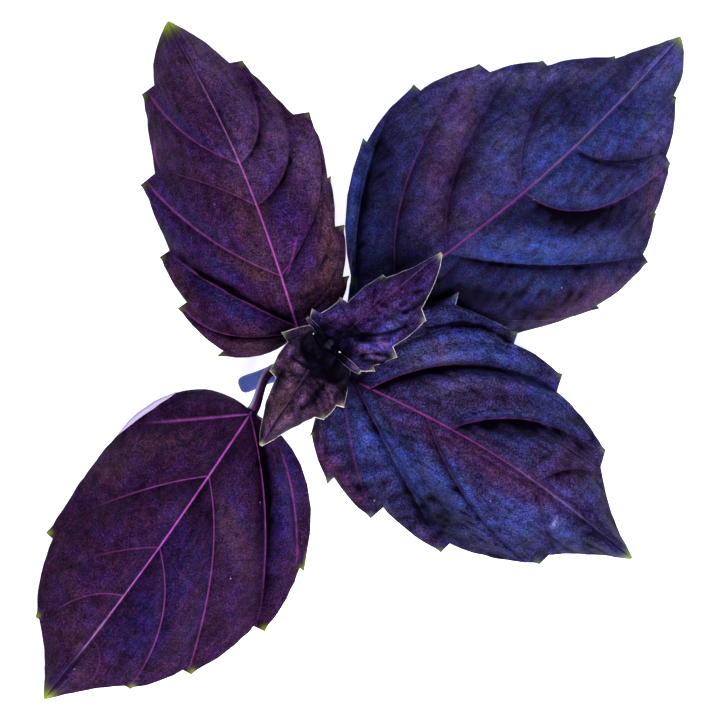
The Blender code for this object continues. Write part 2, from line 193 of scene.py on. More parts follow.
def make_object(name: str, points: Array, faces: list[list[int]]) -> bpy.types.Object:
    """Puts points, in millimetres, and faces into a smooth mesh object at the origin.

    Args:
        name: The piece's name.
        points: One row of x, y, z per vertex.
        faces: Vertex numbers of each face, anticlockwise from outside.

    Returns:
        The new object.
    """
    mesh = bpy.data.meshes.new(name)
    mesh.from_pydata((points * MM).tolist(), [], faces)
    mesh.update()
    mesh.shade_smooth()
    obj = bpy.data.objects.new(name, mesh)
    bpy.context.scene.collection.objects.link(obj)
    return obj


def grid_faces(rows: int, columns: int, start: int, flip: bool, around: bool = False) -> Array:
    """Four-sided faces over a grid of vertices numbered row by row.

    Args:
        rows: Rows of vertices.
        columns: Vertices in each row.
        start: Number of the first vertex.
        flip: Turns the faces over.
        around: Joins the last column to the first.

    Returns:
        One row of four vertex numbers per face.
    """
    number = np.arange(rows * columns).reshape(rows, columns) + start
    if around:
        number = np.concatenate([number, number[:, :1]], axis=1)
    a, b, c, d = number[:-1, :-1], number[1:, :-1], number[1:, 1:], number[:-1, 1:]
    faces = np.stack([a, b, c, d], axis=-1).reshape(-1, 4)
    return faces[:, ::-1] if flip else faces


def fan_faces(around: int, row: int, centre: int, flip: bool) -> list[list[int]]:
    """Triangles from one point to a closed row of vertices.

    Args:
        around: Vertices in the row.
        row: Number of the row's first vertex.
        centre: Number of the point.
        flip: Turns the faces over.

    Returns:
        One row of three vertex numbers per face.
    """
    here = row + np.arange(around)
    there = np.roll(here, -1)
    pair = (there, here) if flip else (here, there)
    return np.stack([np.full(around, centre), *pair], axis=1).tolist()


def shell_faces(rows: int, columns: int) -> list[list[int]]:
    """Faces of a closed leaf: an upper grid, a lower grid after it, and the strip joining their rims."""
    upper = grid_faces(rows, columns, 0, flip=False)
    lower = grid_faces(rows, columns, rows * columns, flip=True)
    number = np.arange(rows * columns).reshape(rows, columns)
    loop = np.concatenate([number[0, :], number[1:, -1], number[-1, -2::-1], number[-2:0:-1, 0]])
    ahead = np.roll(loop, -1)
    below = rows * columns
    rim = np.stack([loop, ahead, ahead + below, loop + below], axis=-1)
    return np.concatenate([upper, lower, rim]).tolist()


def grid_normals(grid: Array) -> Array:
    """Unit normals of a grid of points: the cross product of its two central differences."""
    along, across = np.gradient(grid, axis=0), np.gradient(grid, axis=1)
    normal = np.cross(along, across)
    return normal / np.maximum(np.linalg.norm(normal, axis=-1, keepdims=True), 1e-9)


def write_attribute(obj: bpy.types.Object, name: str, values: Array) -> None:
    """Stores four numbers per vertex for the materials to read.

    Args:
        obj: The mesh object.
        name: The attribute's name.
        values: One row of four numbers per vertex.
    """
    layer = obj.data.attributes.new(name, "FLOAT_COLOR", "POINT")
    layer.data.foreach_set("color", np.ascontiguousarray(values, np.float32).reshape(-1))


def seat(points: Array, node: str, sides: tuple[int, int] | None = (0, 0)) -> Array:
    """Finds the shift that lines points up with their node's box and sets them on its low side.

    Args:
        points: Points with x, y, z last.
        node: The CAD node that the piece stands for.
        sides: What is lined up in x and in y: 0 the centre, -1 the low side, 1 the high side.
            None leaves both as they are.

    Returns:
        The shift to add to the points.
    """
    low, high = (np.array(corner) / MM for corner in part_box(node))
    own_low, own_high = points.reshape(-1, 3).min(0), points.reshape(-1, 3).max(0)
    share = (np.array([*(sides or (0, 0)), -1]) + 1) / 2
    shift = (1 - share) * (low - own_low) + share * (high - own_high)
    return shift if sides else shift * (0, 0, 1)


# --------------------------------------------------------------------------- materials


def add_node(
    tree: bpy.types.NodeTree, kind: str, inputs: dict | None = None, **settings: object
) -> bpy.types.Node:
    """Adds one node with its settings, and gives each named input a value or a link.

    Args:
        tree: The material's node tree.
        kind: The node's type.
        inputs: Input name or number to a constant, or to the socket that feeds it.
        **settings: The node's own properties.

    Returns:
        The new node.
    """
    made = tree.nodes.new(kind)
    for name, value in settings.items():
        setattr(made, name, value)
    for key, value in (inputs or {}).items():
        if isinstance(value, bpy.types.NodeSocket):
            tree.links.new(value, made.inputs[key])
        else:
            made.inputs[key].default_value = value
    return made


def empty_material(name: str) -> tuple[bpy.types.Material, bpy.types.NodeTree, bpy.types.Node]:
    """A new material with only its output.

    Args:
        name: The finish's name.

    Returns:
        The material, its node tree and its output node.
    """
    material = bpy.data.materials.new(name)
    material.use_nodes = True
    tree = material.node_tree
    tree.nodes.clear()
    return material, tree, tree.nodes.new("ShaderNodeOutputMaterial")


@dataclass(frozen=True)
class LeafFinish:
    """Living leaf skin: a waxy cuticle over cells full of purple pigment, satin and finely grained.

    body is the usual hue. The bluish colour is partly the leaf's own bluer patches and partly
    painted highlight on rises and beside veins, warm is the reddish or brown patches, the dark
    colour is painted shade in hollows, creases, beside veins and round the shoot, and lit is the
    lighter hue of the pale patches. glint is the light that single cells throw back, by the share
    sparkle, and gland the oil glands. rim is the thin line along the margin: a pale fringe of hairs
    on the young leaves, a pale edge on the bluish leaves, and a dark line of painted shade on the
    aubergine and plum leaves. The underside is paler, because its skin has less pigment. cloudy and
    grainy scale the contrast of the mottling and of the single cells.
    """

    name: str
    body: str
    blue_and_highlight: str
    warm: str
    painted_shade: str
    vein: str
    rim: str
    tip: str
    lit: str = "#765890"
    glint: str = "#5d63a8"
    underside: str = "#8f88b0"
    vein_tip: str = "#8a7496"
    cloudy: float = 1.0
    grainy: float = 1.0
    sparkle: float = 0.22
    roughness: float = 0.50
    gloss: float = 0.04
    gloss_tint: str = "#a79cff"
    gland: str = "#b9b6d6"

    def material(self) -> bpy.types.Material:
        """Builds the skin from the marks and tones stored on the leaf.

        Mottling is about 4 mm across, the smallest veins enclose areas of about 1.2 mm, and the
        grain of single cells is drawn at 0.3 mm, coarser than it is, so that it shows. Oil glands
        are sparse pale dots of 0.1 mm.

        Returns:
            The finished material.
        """
        material, tree, output = empty_material(self.name)
        add = partial(add_node, tree)
        place = add("ShaderNodeTexCoord").outputs["Object"]
        marks = add("ShaderNodeAttribute", attribute_name="marks").outputs
        tones = add("ShaderNodeAttribute", attribute_name="tones").outputs
        mark = add("ShaderNodeSeparateColor", {"Color": marks["Color"]}).outputs
        tone = add("ShaderNodeSeparateColor", {"Color": tones["Color"]}).outputs

        # features in a metre, detail and roughness of each noise
        noises = {
            "mottle": (260.0, 4.0, 0.62),
            "cloud": (620.0, 5.0, 0.7),
            "grain": (3600.0, 2.0, 0.85),
            "tint": (330.0, 2.0, 0.5),
            "shake": (900.0, 3.0, 0.5),
        }
        keys = ("Scale", "Detail", "Roughness")
        noise = {
            name: add("ShaderNodeTexNoise", {"Vector": place} | dict(zip(keys, row))).outputs
            for name, row in noises.items()
        }
        mottle, cloud, grain = (noise[name]["Fac"] for name in ("mottle", "cloud", "grain"))
        # a colour noise times the first vector, plus the second: uneven tints, and bent places
        stretches = {
            "tints": (noise["tint"]["Color"], (0.8, 0.4, 1.2), (0.6, 0.8, 0.4)),
            "bent": (noise["shake"]["Color"], (0.0007, 0.0007, 0.0007), place),
        }
        vectors = {
            name: add("ShaderNodeVectorMath", dict(enumerate(row)), operation="MULTIPLY_ADD").outputs[0]
            for name, row in stretches.items()
        }
        glands = add("ShaderNodeTexVoronoi", {"Vector": place, "Scale": 420.0}).outputs
        lottery = add("ShaderNodeSeparateColor", {"Color": glands["Color"]}).outputs["Red"]
        net = {"Vector": vectors["bent"], "Scale": 780.0}
        network = add("ShaderNodeTexVoronoi", net, feature="DISTANCE_TO_EDGE").outputs["Distance"]

        # each row maps low..high of a pattern to start..end
        cloudy, grainy = 0.17 / self.cloudy, 0.17 / self.grainy
        ranges = {
            "clouds": (cloud, 0.5 - cloudy, 0.5 + cloudy, 0.32, 1.68),
            "grains": (grain, 0.5 - grainy, 0.5 + grainy, 0.32, 1.68),
            "sparkles": (grain, 0.55, 0.70, 0.0, self.sparkle),
            "vein_breaks": (cloud, 0.3, 0.7, 0.6, 1.25),
            "rim_breaks": (cloud, 0.38, 0.6, 0.45, 1.15),
            # painted shade strong enough to cover the veins and rims too
            "shade_over_marks": (tone["Blue"], 0.8, 1.0, 0.0, 1.0),
            "chosen": (lottery, 0.90, 0.91, 0.0, 1.0),
            "dot": (glands["Distance"], 0.025, 0.05, 0.55, 0.0),
            "raised": (network, 0.0, 0.25, 0.0, 1.0),
            "roughness": (mottle, 0.3, 0.7, self.roughness - 0.06, self.roughness + 0.08),
        }
        keys = ("Value", "From Min", "From Max", "To Min", "To Max")
        mapped = {
            name: add("ShaderNodeMapRange", dict(zip(keys, row))).outputs[0]
            for name, row in ranges.items()
        }

        # a push of strength times (mottle - 0.5) breaks up the warm mask and the mask of bluish tint
        # with painted highlight
        pushes = [
            add("ShaderNodeMath", {0: mottle, 1: push, 2: -push / 2}, operation="MULTIPLY_ADD").outputs[0]
            for push in (0.9, 1.0)
        ]
        masks = {
            "blue_and_highlight": (tone["Red"], pushes[0], "ADD", True),
            "warm": (tone["Green"], pushes[1], "ADD", True),
            "vein": (mark["Red"], mapped["vein_breaks"], "MULTIPLY", False),
            "rim": (mark["Green"], mapped["rim_breaks"], "MULTIPLY", False),
            "gland": (mapped["chosen"], mapped["dot"], "MULTIPLY", True),
        }
        share = {
            name: add("ShaderNodeMath", {0: first, 1: second}, operation=kind, use_clamp=clamped).outputs[0]
            for name, (first, second, kind, clamped) in masks.items()
        }
        fading = {"Factor": tones["Alpha"], 6: linear(self.vein), 7: linear(self.vein_tip)}
        layers = (
            # bluish tint, partly the leaf's own and partly painted highlight
            (share["blue_and_highlight"], linear(self.blue_and_highlight), "MIX"),
            (share["warm"], linear(self.warm), "MIX"),
            (tones["Alpha"], linear(self.lit), "MIX"),
            (1.0, mapped["clouds"], "MULTIPLY"),
            (1.0, mapped["grains"], "MULTIPLY"),
            (1.0, vectors["tints"], "MULTIPLY"),
            (mapped["sparkles"], linear(self.glint), "MIX"),
            # painted shade in hollows, creases, beside veins and round the shoot
            (tone["Blue"], linear(self.painted_shade), "MIX"),
            (share["vein"], add("ShaderNodeMix", fading, data_type="RGBA").outputs[2], "MIX"),
            (share["rim"], linear(self.rim), "MIX"),
            # the strongest painted shade, laid again over veins and rims
            (mapped["shade_over_marks"], linear(self.painted_shade), "MIX"),
            (mark["Blue"], linear(self.tip), "MIX"),
            (share["gland"], linear(self.gland), "MIX"),
            (marks["Alpha"], linear(self.underside), "MIX"),
        )
        colour = linear(self.body)
        for factor, over, kind in layers:
            sockets = {"Factor": factor, 6: colour, 7: over}
            colour = add("ShaderNodeMix", sockets, data_type="RGBA", blend_type=kind).outputs[2]

        # height, strength and distance of each relief, coarse to fine
        reliefs = ((cloud, 0.5, 0.00016), (mapped["raised"], 0.4, 0.00007), (grain, 0.7, 0.00007))
        lean = {}
        for height, strength, distance in reliefs:
            inputs = {"Height": height, "Strength": strength, "Distance": distance}
            lean = {"Normal": add("ShaderNodeBump", inputs | lean).outputs["Normal"]}
        skin = {
            "Base Color": colour,
            "Roughness": mapped["roughness"],
            "Specular IOR Level": self.gloss,
            "Specular Tint": linear(self.gloss_tint),
        }
        shader = add("ShaderNodeBsdfPrincipled", skin | lean)
        tree.links.new(shader.outputs[0], output.inputs["Surface"])
        return material


class Hue(Enum):
    """The leaf skins of this sprig."""

    AUBERGINE = LeafFinish(
        "aubergine_leaf_skin", body="#2b1133", blue_and_highlight="#23194c", warm="#3d2431", painted_shade="#040007",
        # the dark rim is painted shade along the margin
        vein="#9c4c9a", vein_tip="#b08ab6", rim="#170b18", tip="#8a9a20", underside="#8f86a6",
        glint="#6c4c7c", cloudy=0.8, grainy=1.6, sparkle=0.18, gloss=0.02,
    )
    PLUM = LeafFinish(
        "plum_leaf_skin", body="#250d2a", blue_and_highlight="#1c1140", warm="#382030", painted_shade="#040007",
        # the dark rim is painted shade along the margin
        vein="#a04aa2", vein_tip="#b08ab6", rim="#170b18", tip="#8a9a20", underside="#a79bbc",
        glint="#5e5468", cloudy=0.8, grainy=1.2, sparkle=0.18,
    )
    INDIGO = LeafFinish(
        "indigo_leaf_skin", body="#1e1b3f", blue_and_highlight="#27336a", warm="#3a2444", painted_shade="#04020a",
        vein="#642c6c", rim="#a8a6cc", tip="#6f8636", lit="#685e9c", underside="#8583ae",
        vein_tip="#77729c", glint="#585c78", cloudy=0.7, sparkle=0.12,
    )
    DUSK = LeafFinish(
        "dusk_leaf_skin", body="#1e183a", blue_and_highlight="#26306a", warm="#391c40", painted_shade="#04020a",
        vein="#6a2a68", rim="#a8a6cc", tip="#6f8636", lit="#685e9c", underside="#8583ae",
        vein_tip="#77729c", glint="#646880", cloudy=0.75, grainy=1.7, sparkle=0.22, gloss=0.02,
    )
    BROWN = LeafFinish(
        "brown_young_leaf_skin", body="#29162f", blue_and_highlight="#523656", warm="#3a2426", painted_shade="#040206",
        vein="#3a2140", rim="#ded5d2", tip="#c9c79a", glint="#6e6670", cloudy=1.1, grainy=1.7,
    )
    VIOLET = LeafFinish(
        "violet_young_leaf_skin", body="#21103a", blue_and_highlight="#3c3478", warm="#361a40", painted_shade="#030208",
        vein="#4a2c60", rim="#ded5d2", tip="#c9c79a", glint="#6a628c", cloudy=0.9, grainy=1.8,
    )


# --------------------------------------------------------------------------- leaves


class Tone(Enum):
    """What a patch of the blade leans towards: its channel in the tones attribute."""

    # bluish tint, partly the leaf's own and partly painted highlight
    COOL = 0
    WARM = 1
    # painted shade
    DEEP = 2
    PALE = 3


@dataclass(frozen=True)
class Patch:
    """A soft oval on the sprig where the blade's tone changes.

    east and north place its centre from the sprig's middle, long and wide are its half-lengths,
    and turn is the long axis's angle from east.
    """

    east: float
    north: float
    long: float
    wide: float
    weight: float
    turn: float = 0.0

    def share(self, x: Array, y: Array) -> Array:
        """The patch's weight at each place: a bell over its oval distance."""
        angle = math.radians(self.turn)
        dx, dy = x - self.east, y - self.north
        along = (dx * math.cos(angle) + dy * math.sin(angle)) / self.long
        across = (dy * math.cos(angle) - dx * math.sin(angle)) / self.wide
        return self.weight * np.exp(-(along**2 + across**2))


@dataclass(frozen=True)
class Crease:
    """A groove along a curve on the sprig, or a ridge where depth is negative.

    shade is how dark it is, and ink how strongly a vein's colour shows along it.
    """

    start: Pair
    bend: Pair
    end: Pair
    depth: float = 0.25
    width: float = 0.45
    shade: float = 0.0
    ink: float = 0.0

    def distance(self, x: Array, y: Array) -> Array:
        """Distance from each place to the curve."""
        t = np.linspace(0, 1, 20)[:, None]
        curve = bezier(np.array(self.start), np.array(self.bend), np.array(self.end), t)
        return distance_to_curve(np.stack([x, y], axis=-1), curve)


@dataclass(frozen=True)
class Curl:
    """A stretch of margin that rolls: from and to along the leaf, width of blade rolled, and angle.

    A positive angle rolls up and shows the underside, and a negative one rolls under.
    """

    start: float
    end: float
    width: float
    angle: float

    def amount(self, along: Array) -> Array:
        """How much of the roll is reached at each place: 0 at the stretch's ends, 1 in its middle."""
        share = np.clip((along - self.start) / (self.end - self.start), 0, 1)
        return np.sin(math.pi * share) ** 0.6


USUAL_SWEEP = (0.40, 0.85)  # where most side veins bend forward


@dataclass(frozen=True)
class Vein:
    """One side vein.

    end is where it meets the margin, counted in lobes from the petiole. ink is how strongly its
    colour shows, and fade the share of the way out where that is half gone. dip is the depth of
    its channel, 1 reaching down to the blade's own level. ahead and behind paint the blade on the
    tip's side and on the petiole's side: above 0 with painted shade, below 0 with a painted bluish
    highlight. sweep places the point that bends the vein, as shares of its length along the leaf
    and out from the midrib.
    """

    end: float
    ink: float = 0.0
    fade: float = 0.9
    dip: float = 1.0
    ahead: float = 0.0
    behind: float = 0.0
    sweep: Pair = USUAL_SWEEP


@dataclass(frozen=True)
class Side:
    """One half of a blade, left or right of its midrib.

    A tooth is (along, out, notch depth), and a fourth number is the rise of the margin that leads
    to it. The shoulder is where the base corner turns, and the taper is the last lobe's rise. The
    edge holds heights at even steps from the base to the tip, and rim how strongly the rim shows.
    """

    shoulder: Pair
    teeth: tuple[tuple[float, ...], ...]
    veins: tuple[Vein, ...]
    edge: tuple[float, ...]
    taper: float = 0.05
    curls: tuple[Curl, ...] = ()
    rim: tuple[float, ...] = (0.5, 0.5)


# (x, y, z, half-thickness) of the stem's cut end, its three leaf joints and its top
STEM_JOINTS = (
    (-19.4, -3.9, 1.75, 1.45), (-10.4, -0.4, 12.5, 1.9), (-6.4, 1.7, 18.6, 1.5),
    (-5.0, 2.6, 23.4, 1.0), (-4.8, 2.9, 25.0, 0.6),
)
TOOTH_LEAN = 0.45  # how far a notch lies beyond its tooth, in notch depths
HOOK_START = 0.9  # share of a lobe after which its margin swings out into the tooth's hook
CROWDING = 0.6  # how much closer rows stand at the teeth than elsewhere
LEAST_CROSSING = 0.15  # smallest sine of the angle at which a row of the blade meets the margin
SMOOTHING_ROWS = 25
TOOTH_DEPTH = 1.8  # how far into the blade the teeth bend its rows
TOOTH_SHARE = 0.05  # share of a lobe that its tooth's steep far side takes
LOBE_BULGE = 0.05  # usual rise of the margin between two teeth, in distances between them
REST_SOFTNESS = 0.8  # how gently a drooping edge flattens on the surface
TIP_HALF_WIDTH = 0.25
HOOK_TURN = 0.8  # how far a tooth's hook swings out, as a share of its swing ahead
VEIN_CROWDING = 0.12  # how much closer rows stand at veins, and columns at midrib and margin
WAVER_SIZE = 1.6  # size of the margin's fine waver
DROOP_POWER = 1.7  # the blade stays level by the midrib and bends down towards its edge
CHANNEL_SHARE = 0.12  # share of the way out over which the channel along the midrib fades
PUFF_POWER = 0.75  # under 1, a puff rises steeply out of its veins
WIDEST_PUFF = 12.0  # width of panel past which a puff grows no taller
EDGE_CALM = 0.6  # share of a puff that is gone at the margin
MINOR_VEIN = (0.45, 0.45, 5.0)  # half-width, share of the way out, least width of panel
CROSS_VEINS = (2.9, 0.45, 0.37)  # spacing, slant over a panel, offset from panel to panel
DRIFT = (0.4, 5.0)  # strength and size of the cross veins' wander
CROSS_LINE = 0.11  # half-width of a cross vein, as the sine of its half turn per spacing
LEAST_CROSSED = 3.0  # width of panel under which no cross veins show
BLISTER_LEVEL = 0.4  # the rise that counts as level: lower places are hollows
FULL_BLISTER = 6.0  # width of panel from which its blisters are whole
FULL_DETAIL = 4.0  # the same for its ridges and for the shade beside its veins
WRINKLES = ((0.6, 1.9, 2), (0.3, 0.8, 3))  # each layer's strength, size and step from the leaf's seed
RIDGES = (0.7, 0.85, 4)  # the same for the ridges that run from vein to vein
PANEL_STEP = 9.0  # how far apart the panels read the ridges' noise, so that no two match
RIDGE_RUN = 0.3  # their noise runs this slowly from vein to vein, which draws them out
BRIGHT_SHARE = 0.8  # painted bluish highlight on a rise, as a share of the painted shade in a hollow
CROSS_SHADE = 0.3  # how dark the painted shade along the cross veins is
VEIN_LINE = (0.115, 0.04)  # half-width of a side vein's colour at the midrib, and its loss outwards
FADE_SOFTNESS = 0.07  # share of the way out over which a vein's colour fades
VEIN_SHADOWS = ((0.6, 0.4, 0.4), (0.6, 0.9, 1.2))  # strength, distance and half-width of each
VEIN_HIGHLIGHT = (0.9, 1.1)  # distance and half-width of the painted bluish highlight beside a vein
VEIN_GROOVE = (0.10, 0.3)  # depth and half-width of the fine groove along a coloured vein
RIB_TAPER = 0.55  # share of the midrib's coloured width that is gone at the tip
RIB_RIDGE = (0.12, 0.3)  # height and half-width of the fine ridge along the midrib
CREASE_LINE = 0.13  # half-width of the colour along a crease
HALO = (0.25, 0.7)  # darkness and half-width of the shade along the midrib, gone at the tip
PALE_RIB = (0.7, 0.28)  # strength and half-width of the pale line along the midrib's outer half
TOOTH_REACH = 0.6  # how far a tooth's colour reaches from its tip
MOST_TIP = 0.9  # strongest colour of a leaf's tip
SKIN_ROUNDING = (0.75, 0.9)  # share of the thickness that is gone at the margin, and its width
RIB_BULGE = (0.85, 0.75)  # share of the midrib's bulge gone at the tip, and its half-width
VEIN_BULGE = (0.22, 0.8)  # thickness under a vein, and the distance from the midrib it starts at


@dataclass(frozen=True)
class Leaf:
    """One leaf: petiole, midrib and toothed blade as a single closed surface.

    base, heading and length place the blade on the sprig, and bow is the midrib's sideways curve.
    stations are the places where pairs of side veins leave the midrib, and rib holds the
    midrib's heights at even steps. leave is the way the petiole leaves its joint, clear of the
    stem. The tables of patches hold rows in a Patch's own order: bluish tint that is partly
    painted highlight, warm tint, painted shade, and pale.
    """

    node: str
    slot: str
    hue: Hue
    joint: tuple[float, float, float]
    leave: float
    clear: float
    base: Pair
    heading: float
    length: float
    bow: float
    rib: tuple[float, ...]
    stations: tuple[float, ...]
    left: Side
    right: Side
    neck: float
    rib_thickness: float
    midrib_ink: tuple[float, ...]
    seed: int
    midrib_width: float = 0.21
    quilt: float = 0.15
    blister: float = 0.20
    minor: float = 0.25
    thickness: float = 0.34
    blue_and_highlight: tuple[Row, ...] = ()
    warm: tuple[Row, ...] = ()
    painted_shade: tuple[Row, ...] = ()
    pale: tuple[Row, ...] = ()
    creases: tuple[Crease, ...] = ()
    hook: float = 0.35
    wobble: float = 0.12
    rim_width: float = 0.10
    tip_reach: float = 1.3
    tooth_ink: float = 0.25
    cross_ink: float = 0.12
    shading: float = 0.5
    seated: tuple[int, int] | None = (0, 0)
    pale_flank: float = 0.0
    rows_per_panel: int = 34
    petiole_rows: int = 26
    columns: int = 62

    def lobes(self, side: Side) -> tuple[Array, Array, Array]:
        """Start, bend and end of each lobe of one margin, from the petiole to the tip.

        Args:
            side: The half of the blade.

        Returns:
            Three arrays of plan points, one row per lobe.
        """
        ends = [(tooth[0], tooth[1]) for tooth in side.teeth] + [(self.length, TIP_HALF_WIDTH)]
        starts = [(0.0, self.neck)]
        starts += [(tooth[0] + TOOTH_LEAN * tooth[2], tooth[1] - tooth[2]) for tooth in side.teeth]
        rises = [tooth[3] if len(tooth) > 3 else LOBE_BULGE for tooth in side.teeth] + [side.taper]
        first, last, rise = np.array(starts), np.array(ends), np.array(rises)
        chord = last - first
        outward = np.stack([-chord[:, 1], chord[:, 0]], axis=1)
        bend = (first + last) / 2 + 2 * rise[:, None] * outward
        bend[0] = side.shoulder
        return first, bend, last

    def margin(self, side: Side, reach: Array) -> Array:
        """Plan points of one margin: each lobe's curve up to its tooth, then a drop to the notch.

        Args:
            side: The half of the blade.
            reach: How far round the margin, counted in lobes from the petiole.

        Returns:
            The margin's plan points.
        """
        first, bend, end = self.lobes(side)
        last = len(end) - 1
        index = np.clip(np.floor(reach).astype(int), 0, last)
        part = reach - index
        climb = np.where(index < last, 1 - TOOTH_SHARE, 1.0)
        t = np.clip(part / climb, 0, 1)[:, None]
        point = bezier(first[index], bend[index], end[index], t)
        ahead = end - bend
        ahead /= np.linalg.norm(ahead, axis=1, keepdims=True)
        swing = self.hook * (ahead + HOOK_TURN * np.stack([-ahead[:, 1], ahead[:, 0]], axis=1))
        swing[last] = 0
        point = point + np.clip((t - HOOK_START) / (1 - HOOK_START), 0, 1) ** 3 * swing[index]
        drop = np.clip((part - climb) / TOOTH_SHARE, 0, 1)[:, None]
        following = np.minimum(index + 1, last)
        point = point + drop * (first[following] - end[index] - swing[index])
        waver = self.wobble * ripple(point[:, 0], point[:, 1], WAVER_SIZE, self.seed + 5)
        return point + np.stack([0 * waver, waver * np.clip(point[:, 1], 0, 1)], axis=1)

    def reaches(self, side: Side, steps: Array) -> Array:
        """Reach of each row on one side, crowded towards the teeth, with rows set on every tooth."""
        knots = [0.0, *(vein.end for vein in side.veins), len(side.teeth) + 1.0]
        even = np.linspace(0, knots[-1], 2000)
        crowded = even - CROWDING * np.sin(2 * math.pi * even) / (2 * math.pi)
        spaced = np.interp(steps, np.arange(len(knots)), np.interp(knots, crowded, even))
        reach = np.interp(spaced, even, crowded)
        for tooth in range(1, len(side.teeth) + 1):
            for spot in (tooth - TOOTH_SHARE, tooth):
                reach[np.argmin(np.abs(reach - spot))] = spot
        return reach

    def steps(self) -> Array:
        """Row places counted in panels between veins, crowded towards the veins."""
        panels = len(self.stations) + 1
        even = np.linspace(0, panels, panels * self.rows_per_panel + 1)
        return even - VEIN_CROWDING * np.sin(2 * math.pi * even)

    def shares(self) -> Array:
        """Column places from the midrib, 0, to the margin, 1, crowded towards both."""
        even = np.linspace(0, 1, self.columns + 1)
        return even - VEIN_CROWDING * np.sin(2 * math.pi * even)

    def rolls(self, side: Side, along: Array) -> Array:
        """Width of blade rolled and angle of the roll at each row of one margin."""
        roll = np.zeros((len(along), 2))
        for curl in side.curls:
            amount = curl.amount(along)
            chosen = amount > 0
            roll[chosen] = np.stack([curl.width * amount, curl.angle * amount], axis=1)[chosen]
        return roll

    def on_sprig(self, plan: Array) -> tuple[Array, Array]:
        """East and north of the sprig's middle for points given along and out on this leaf."""
        turn = math.radians(self.heading)
        x = self.base[0] + plan[..., 0] * math.cos(turn) - plan[..., 1] * math.sin(turn)
        y = self.base[1] + plan[..., 0] * math.sin(turn) + plan[..., 1] * math.cos(turn)
        return x, y

    def add_patches(self, tones: Array, x: Array, y: Array) -> None:
        """Adds the leaf's patches to the tones at each place, channel by channel."""
        for tone, rows in zip(Tone, (self.blue_and_highlight, self.warm, self.painted_shade, self.pale)):
            for row in rows:
                tones[..., tone.value] += Patch(*row).share(x, y)

    def held_inside(self, bend: Array, ends: Array, sign: int) -> Array:
        """Moves each row's bend inwards until the row meets the margin from inside the blade.

        Args:
            bend: The point that bends each row.
            ends: The margin's points, without its teeth.
            sign: 1 for left, -1 for right.

        Returns:
            The bends, moved where a row would have run outside the margin.
        """
        ahead = np.gradient(ends, axis=0)
        ahead /= np.maximum(np.linalg.norm(ahead, axis=1, keepdims=True), 1e-9)
        outward = sign * np.stack([-ahead[:, 1], ahead[:, 0]], axis=1)
        leaving = ends - bend
        wanted = LEAST_CROSSING * np.linalg.norm(leaving, axis=1)
        short = np.clip(wanted - (leaving * outward).sum(axis=1), 0, None)
        return bend - smoothed(short[:, None] * outward, SMOOTHING_ROWS)

    def half(self, side: Side, sign: int, steps: Array, along: Array, mid: Array) -> dict[str, Array]:
        """Plan points, heights and masks of one half of the blade, from the midrib outwards.

        Height: the midrib's height, bent down towards the margin's by the share across to the
        droop power; plus, between two veins, a puff that grows with the panel's width; plus
        blisters between the cross veins, wrinkles, ridges, creases and rolls; eased to rest on zero.

        Args:
            side: The half of the blade.
            sign: 1 for left, -1 for right.
            steps: Row places, counted in panels.
            along: Each row's start, measured along the midrib.
            mid: The same starts as plan points.

        Returns:
            Arrays by name: plan, height, inward, vein, rim, tip, under, shown and tones.
        """
        panels = len(self.stations) + 1
        ends = self.margin(side, self.reaches(side, steps))
        reach_along = ends[:, 0]
        flat_mid = mid * (1, sign)
        roll = self.rolls(side, reach_along)
        angle = np.radians(roll[:, 1:])
        radius = roll[:, :1] / np.maximum(np.abs(angle), 1e-3)
        toward = ends - flat_mid
        toward /= np.maximum(np.linalg.norm(toward, axis=1, keepdims=True), 1e-9)
        shown = radius * np.sin(np.minimum(np.abs(angle), math.pi / 2))
        ends = (ends + toward * (roll[:, :1] - shown)) * (1, sign)
        toward = toward * (1, sign)

        sweeps = np.array([USUAL_SWEEP, *(vein.sweep for vein in side.veins), USUAL_SWEEP])
        panel = np.minimum(steps.astype(int), panels - 1)
        part = (steps - panel)[:, None]
        sweep = sweeps[panel] * (1 - part) + sweeps[panel + 1] * part
        calm = smoothed(ends, SMOOTHING_ROWS)
        bend = self.held_inside(mid + (calm - mid) * sweep, calm, sign)
        a = self.shares()[None, :]
        plan = bezier(mid[:, None], bend[:, None], calm[:, None], a[..., None])
        left_over = (1 - a) * np.linalg.norm(ends - mid, axis=1)[:, None]
        plan = plan + bell(left_over, TOOTH_DEPTH)[..., None] * (ends - calm)[:, None]
        knots = np.arange(panels + 1) * self.rows_per_panel
        at_veins = bezier(mid[knots][:, None], bend[knots][:, None], calm[knots][:, None], a[..., None])
        widths = np.linalg.norm(np.diff(at_veins, axis=0), axis=-1)
        width = widths[panel]
        before = np.clip(np.floor(steps - 0.5).astype(int), 0, panels - 2)
        shift = np.clip(steps - 0.5 - before, 0, 1)[:, None]
        smooth_width = widths[before] * (1 - shift) + widths[before + 1] * shift
        out = np.linalg.norm(plan - mid[:, None], axis=-1)
        inward = np.linalg.norm(plan - ends[:, None], axis=-1)
        x, y = self.on_sprig(plan)

        def by_vein(values: list[float], at_ends: float = 0.0) -> tuple[Array, Array]:
            """A value of the veins, at each row, for the vein before it and the vein after it."""
            padded = np.array([at_ends, *values, at_ends])
            return padded[panel][:, None], padded[panel + 1][:, None]

        between = np.abs(np.sin(math.pi * part))
        channel = 1 - np.exp(-a / CHANNEL_SHARE)
        dips = by_vein([vein.dip for vein in side.veins], 1.0)
        dip = dips[0] * (1 - part) + dips[1] * part
        puff = 1 - dip * (1 - between**PUFF_POWER)
        rib = eased(self.rib, along / self.length)[:, None]
        edge = eased(side.edge, reach_along / self.length)[:, None]
        height = rib + (edge - rib) * a**DROOP_POWER
        calm_edge = 1 - EDGE_CALM * a**3
        height = height + self.quilt * np.minimum(smooth_width, WIDEST_PUFF) * puff * channel * calm_edge
        line_width, line_share, least_width = MINOR_VEIN
        centre_line = bell((part - 0.5) * width, line_width) * bell(a, line_share) * (width > least_width)
        height = height - self.minor * centre_line * channel

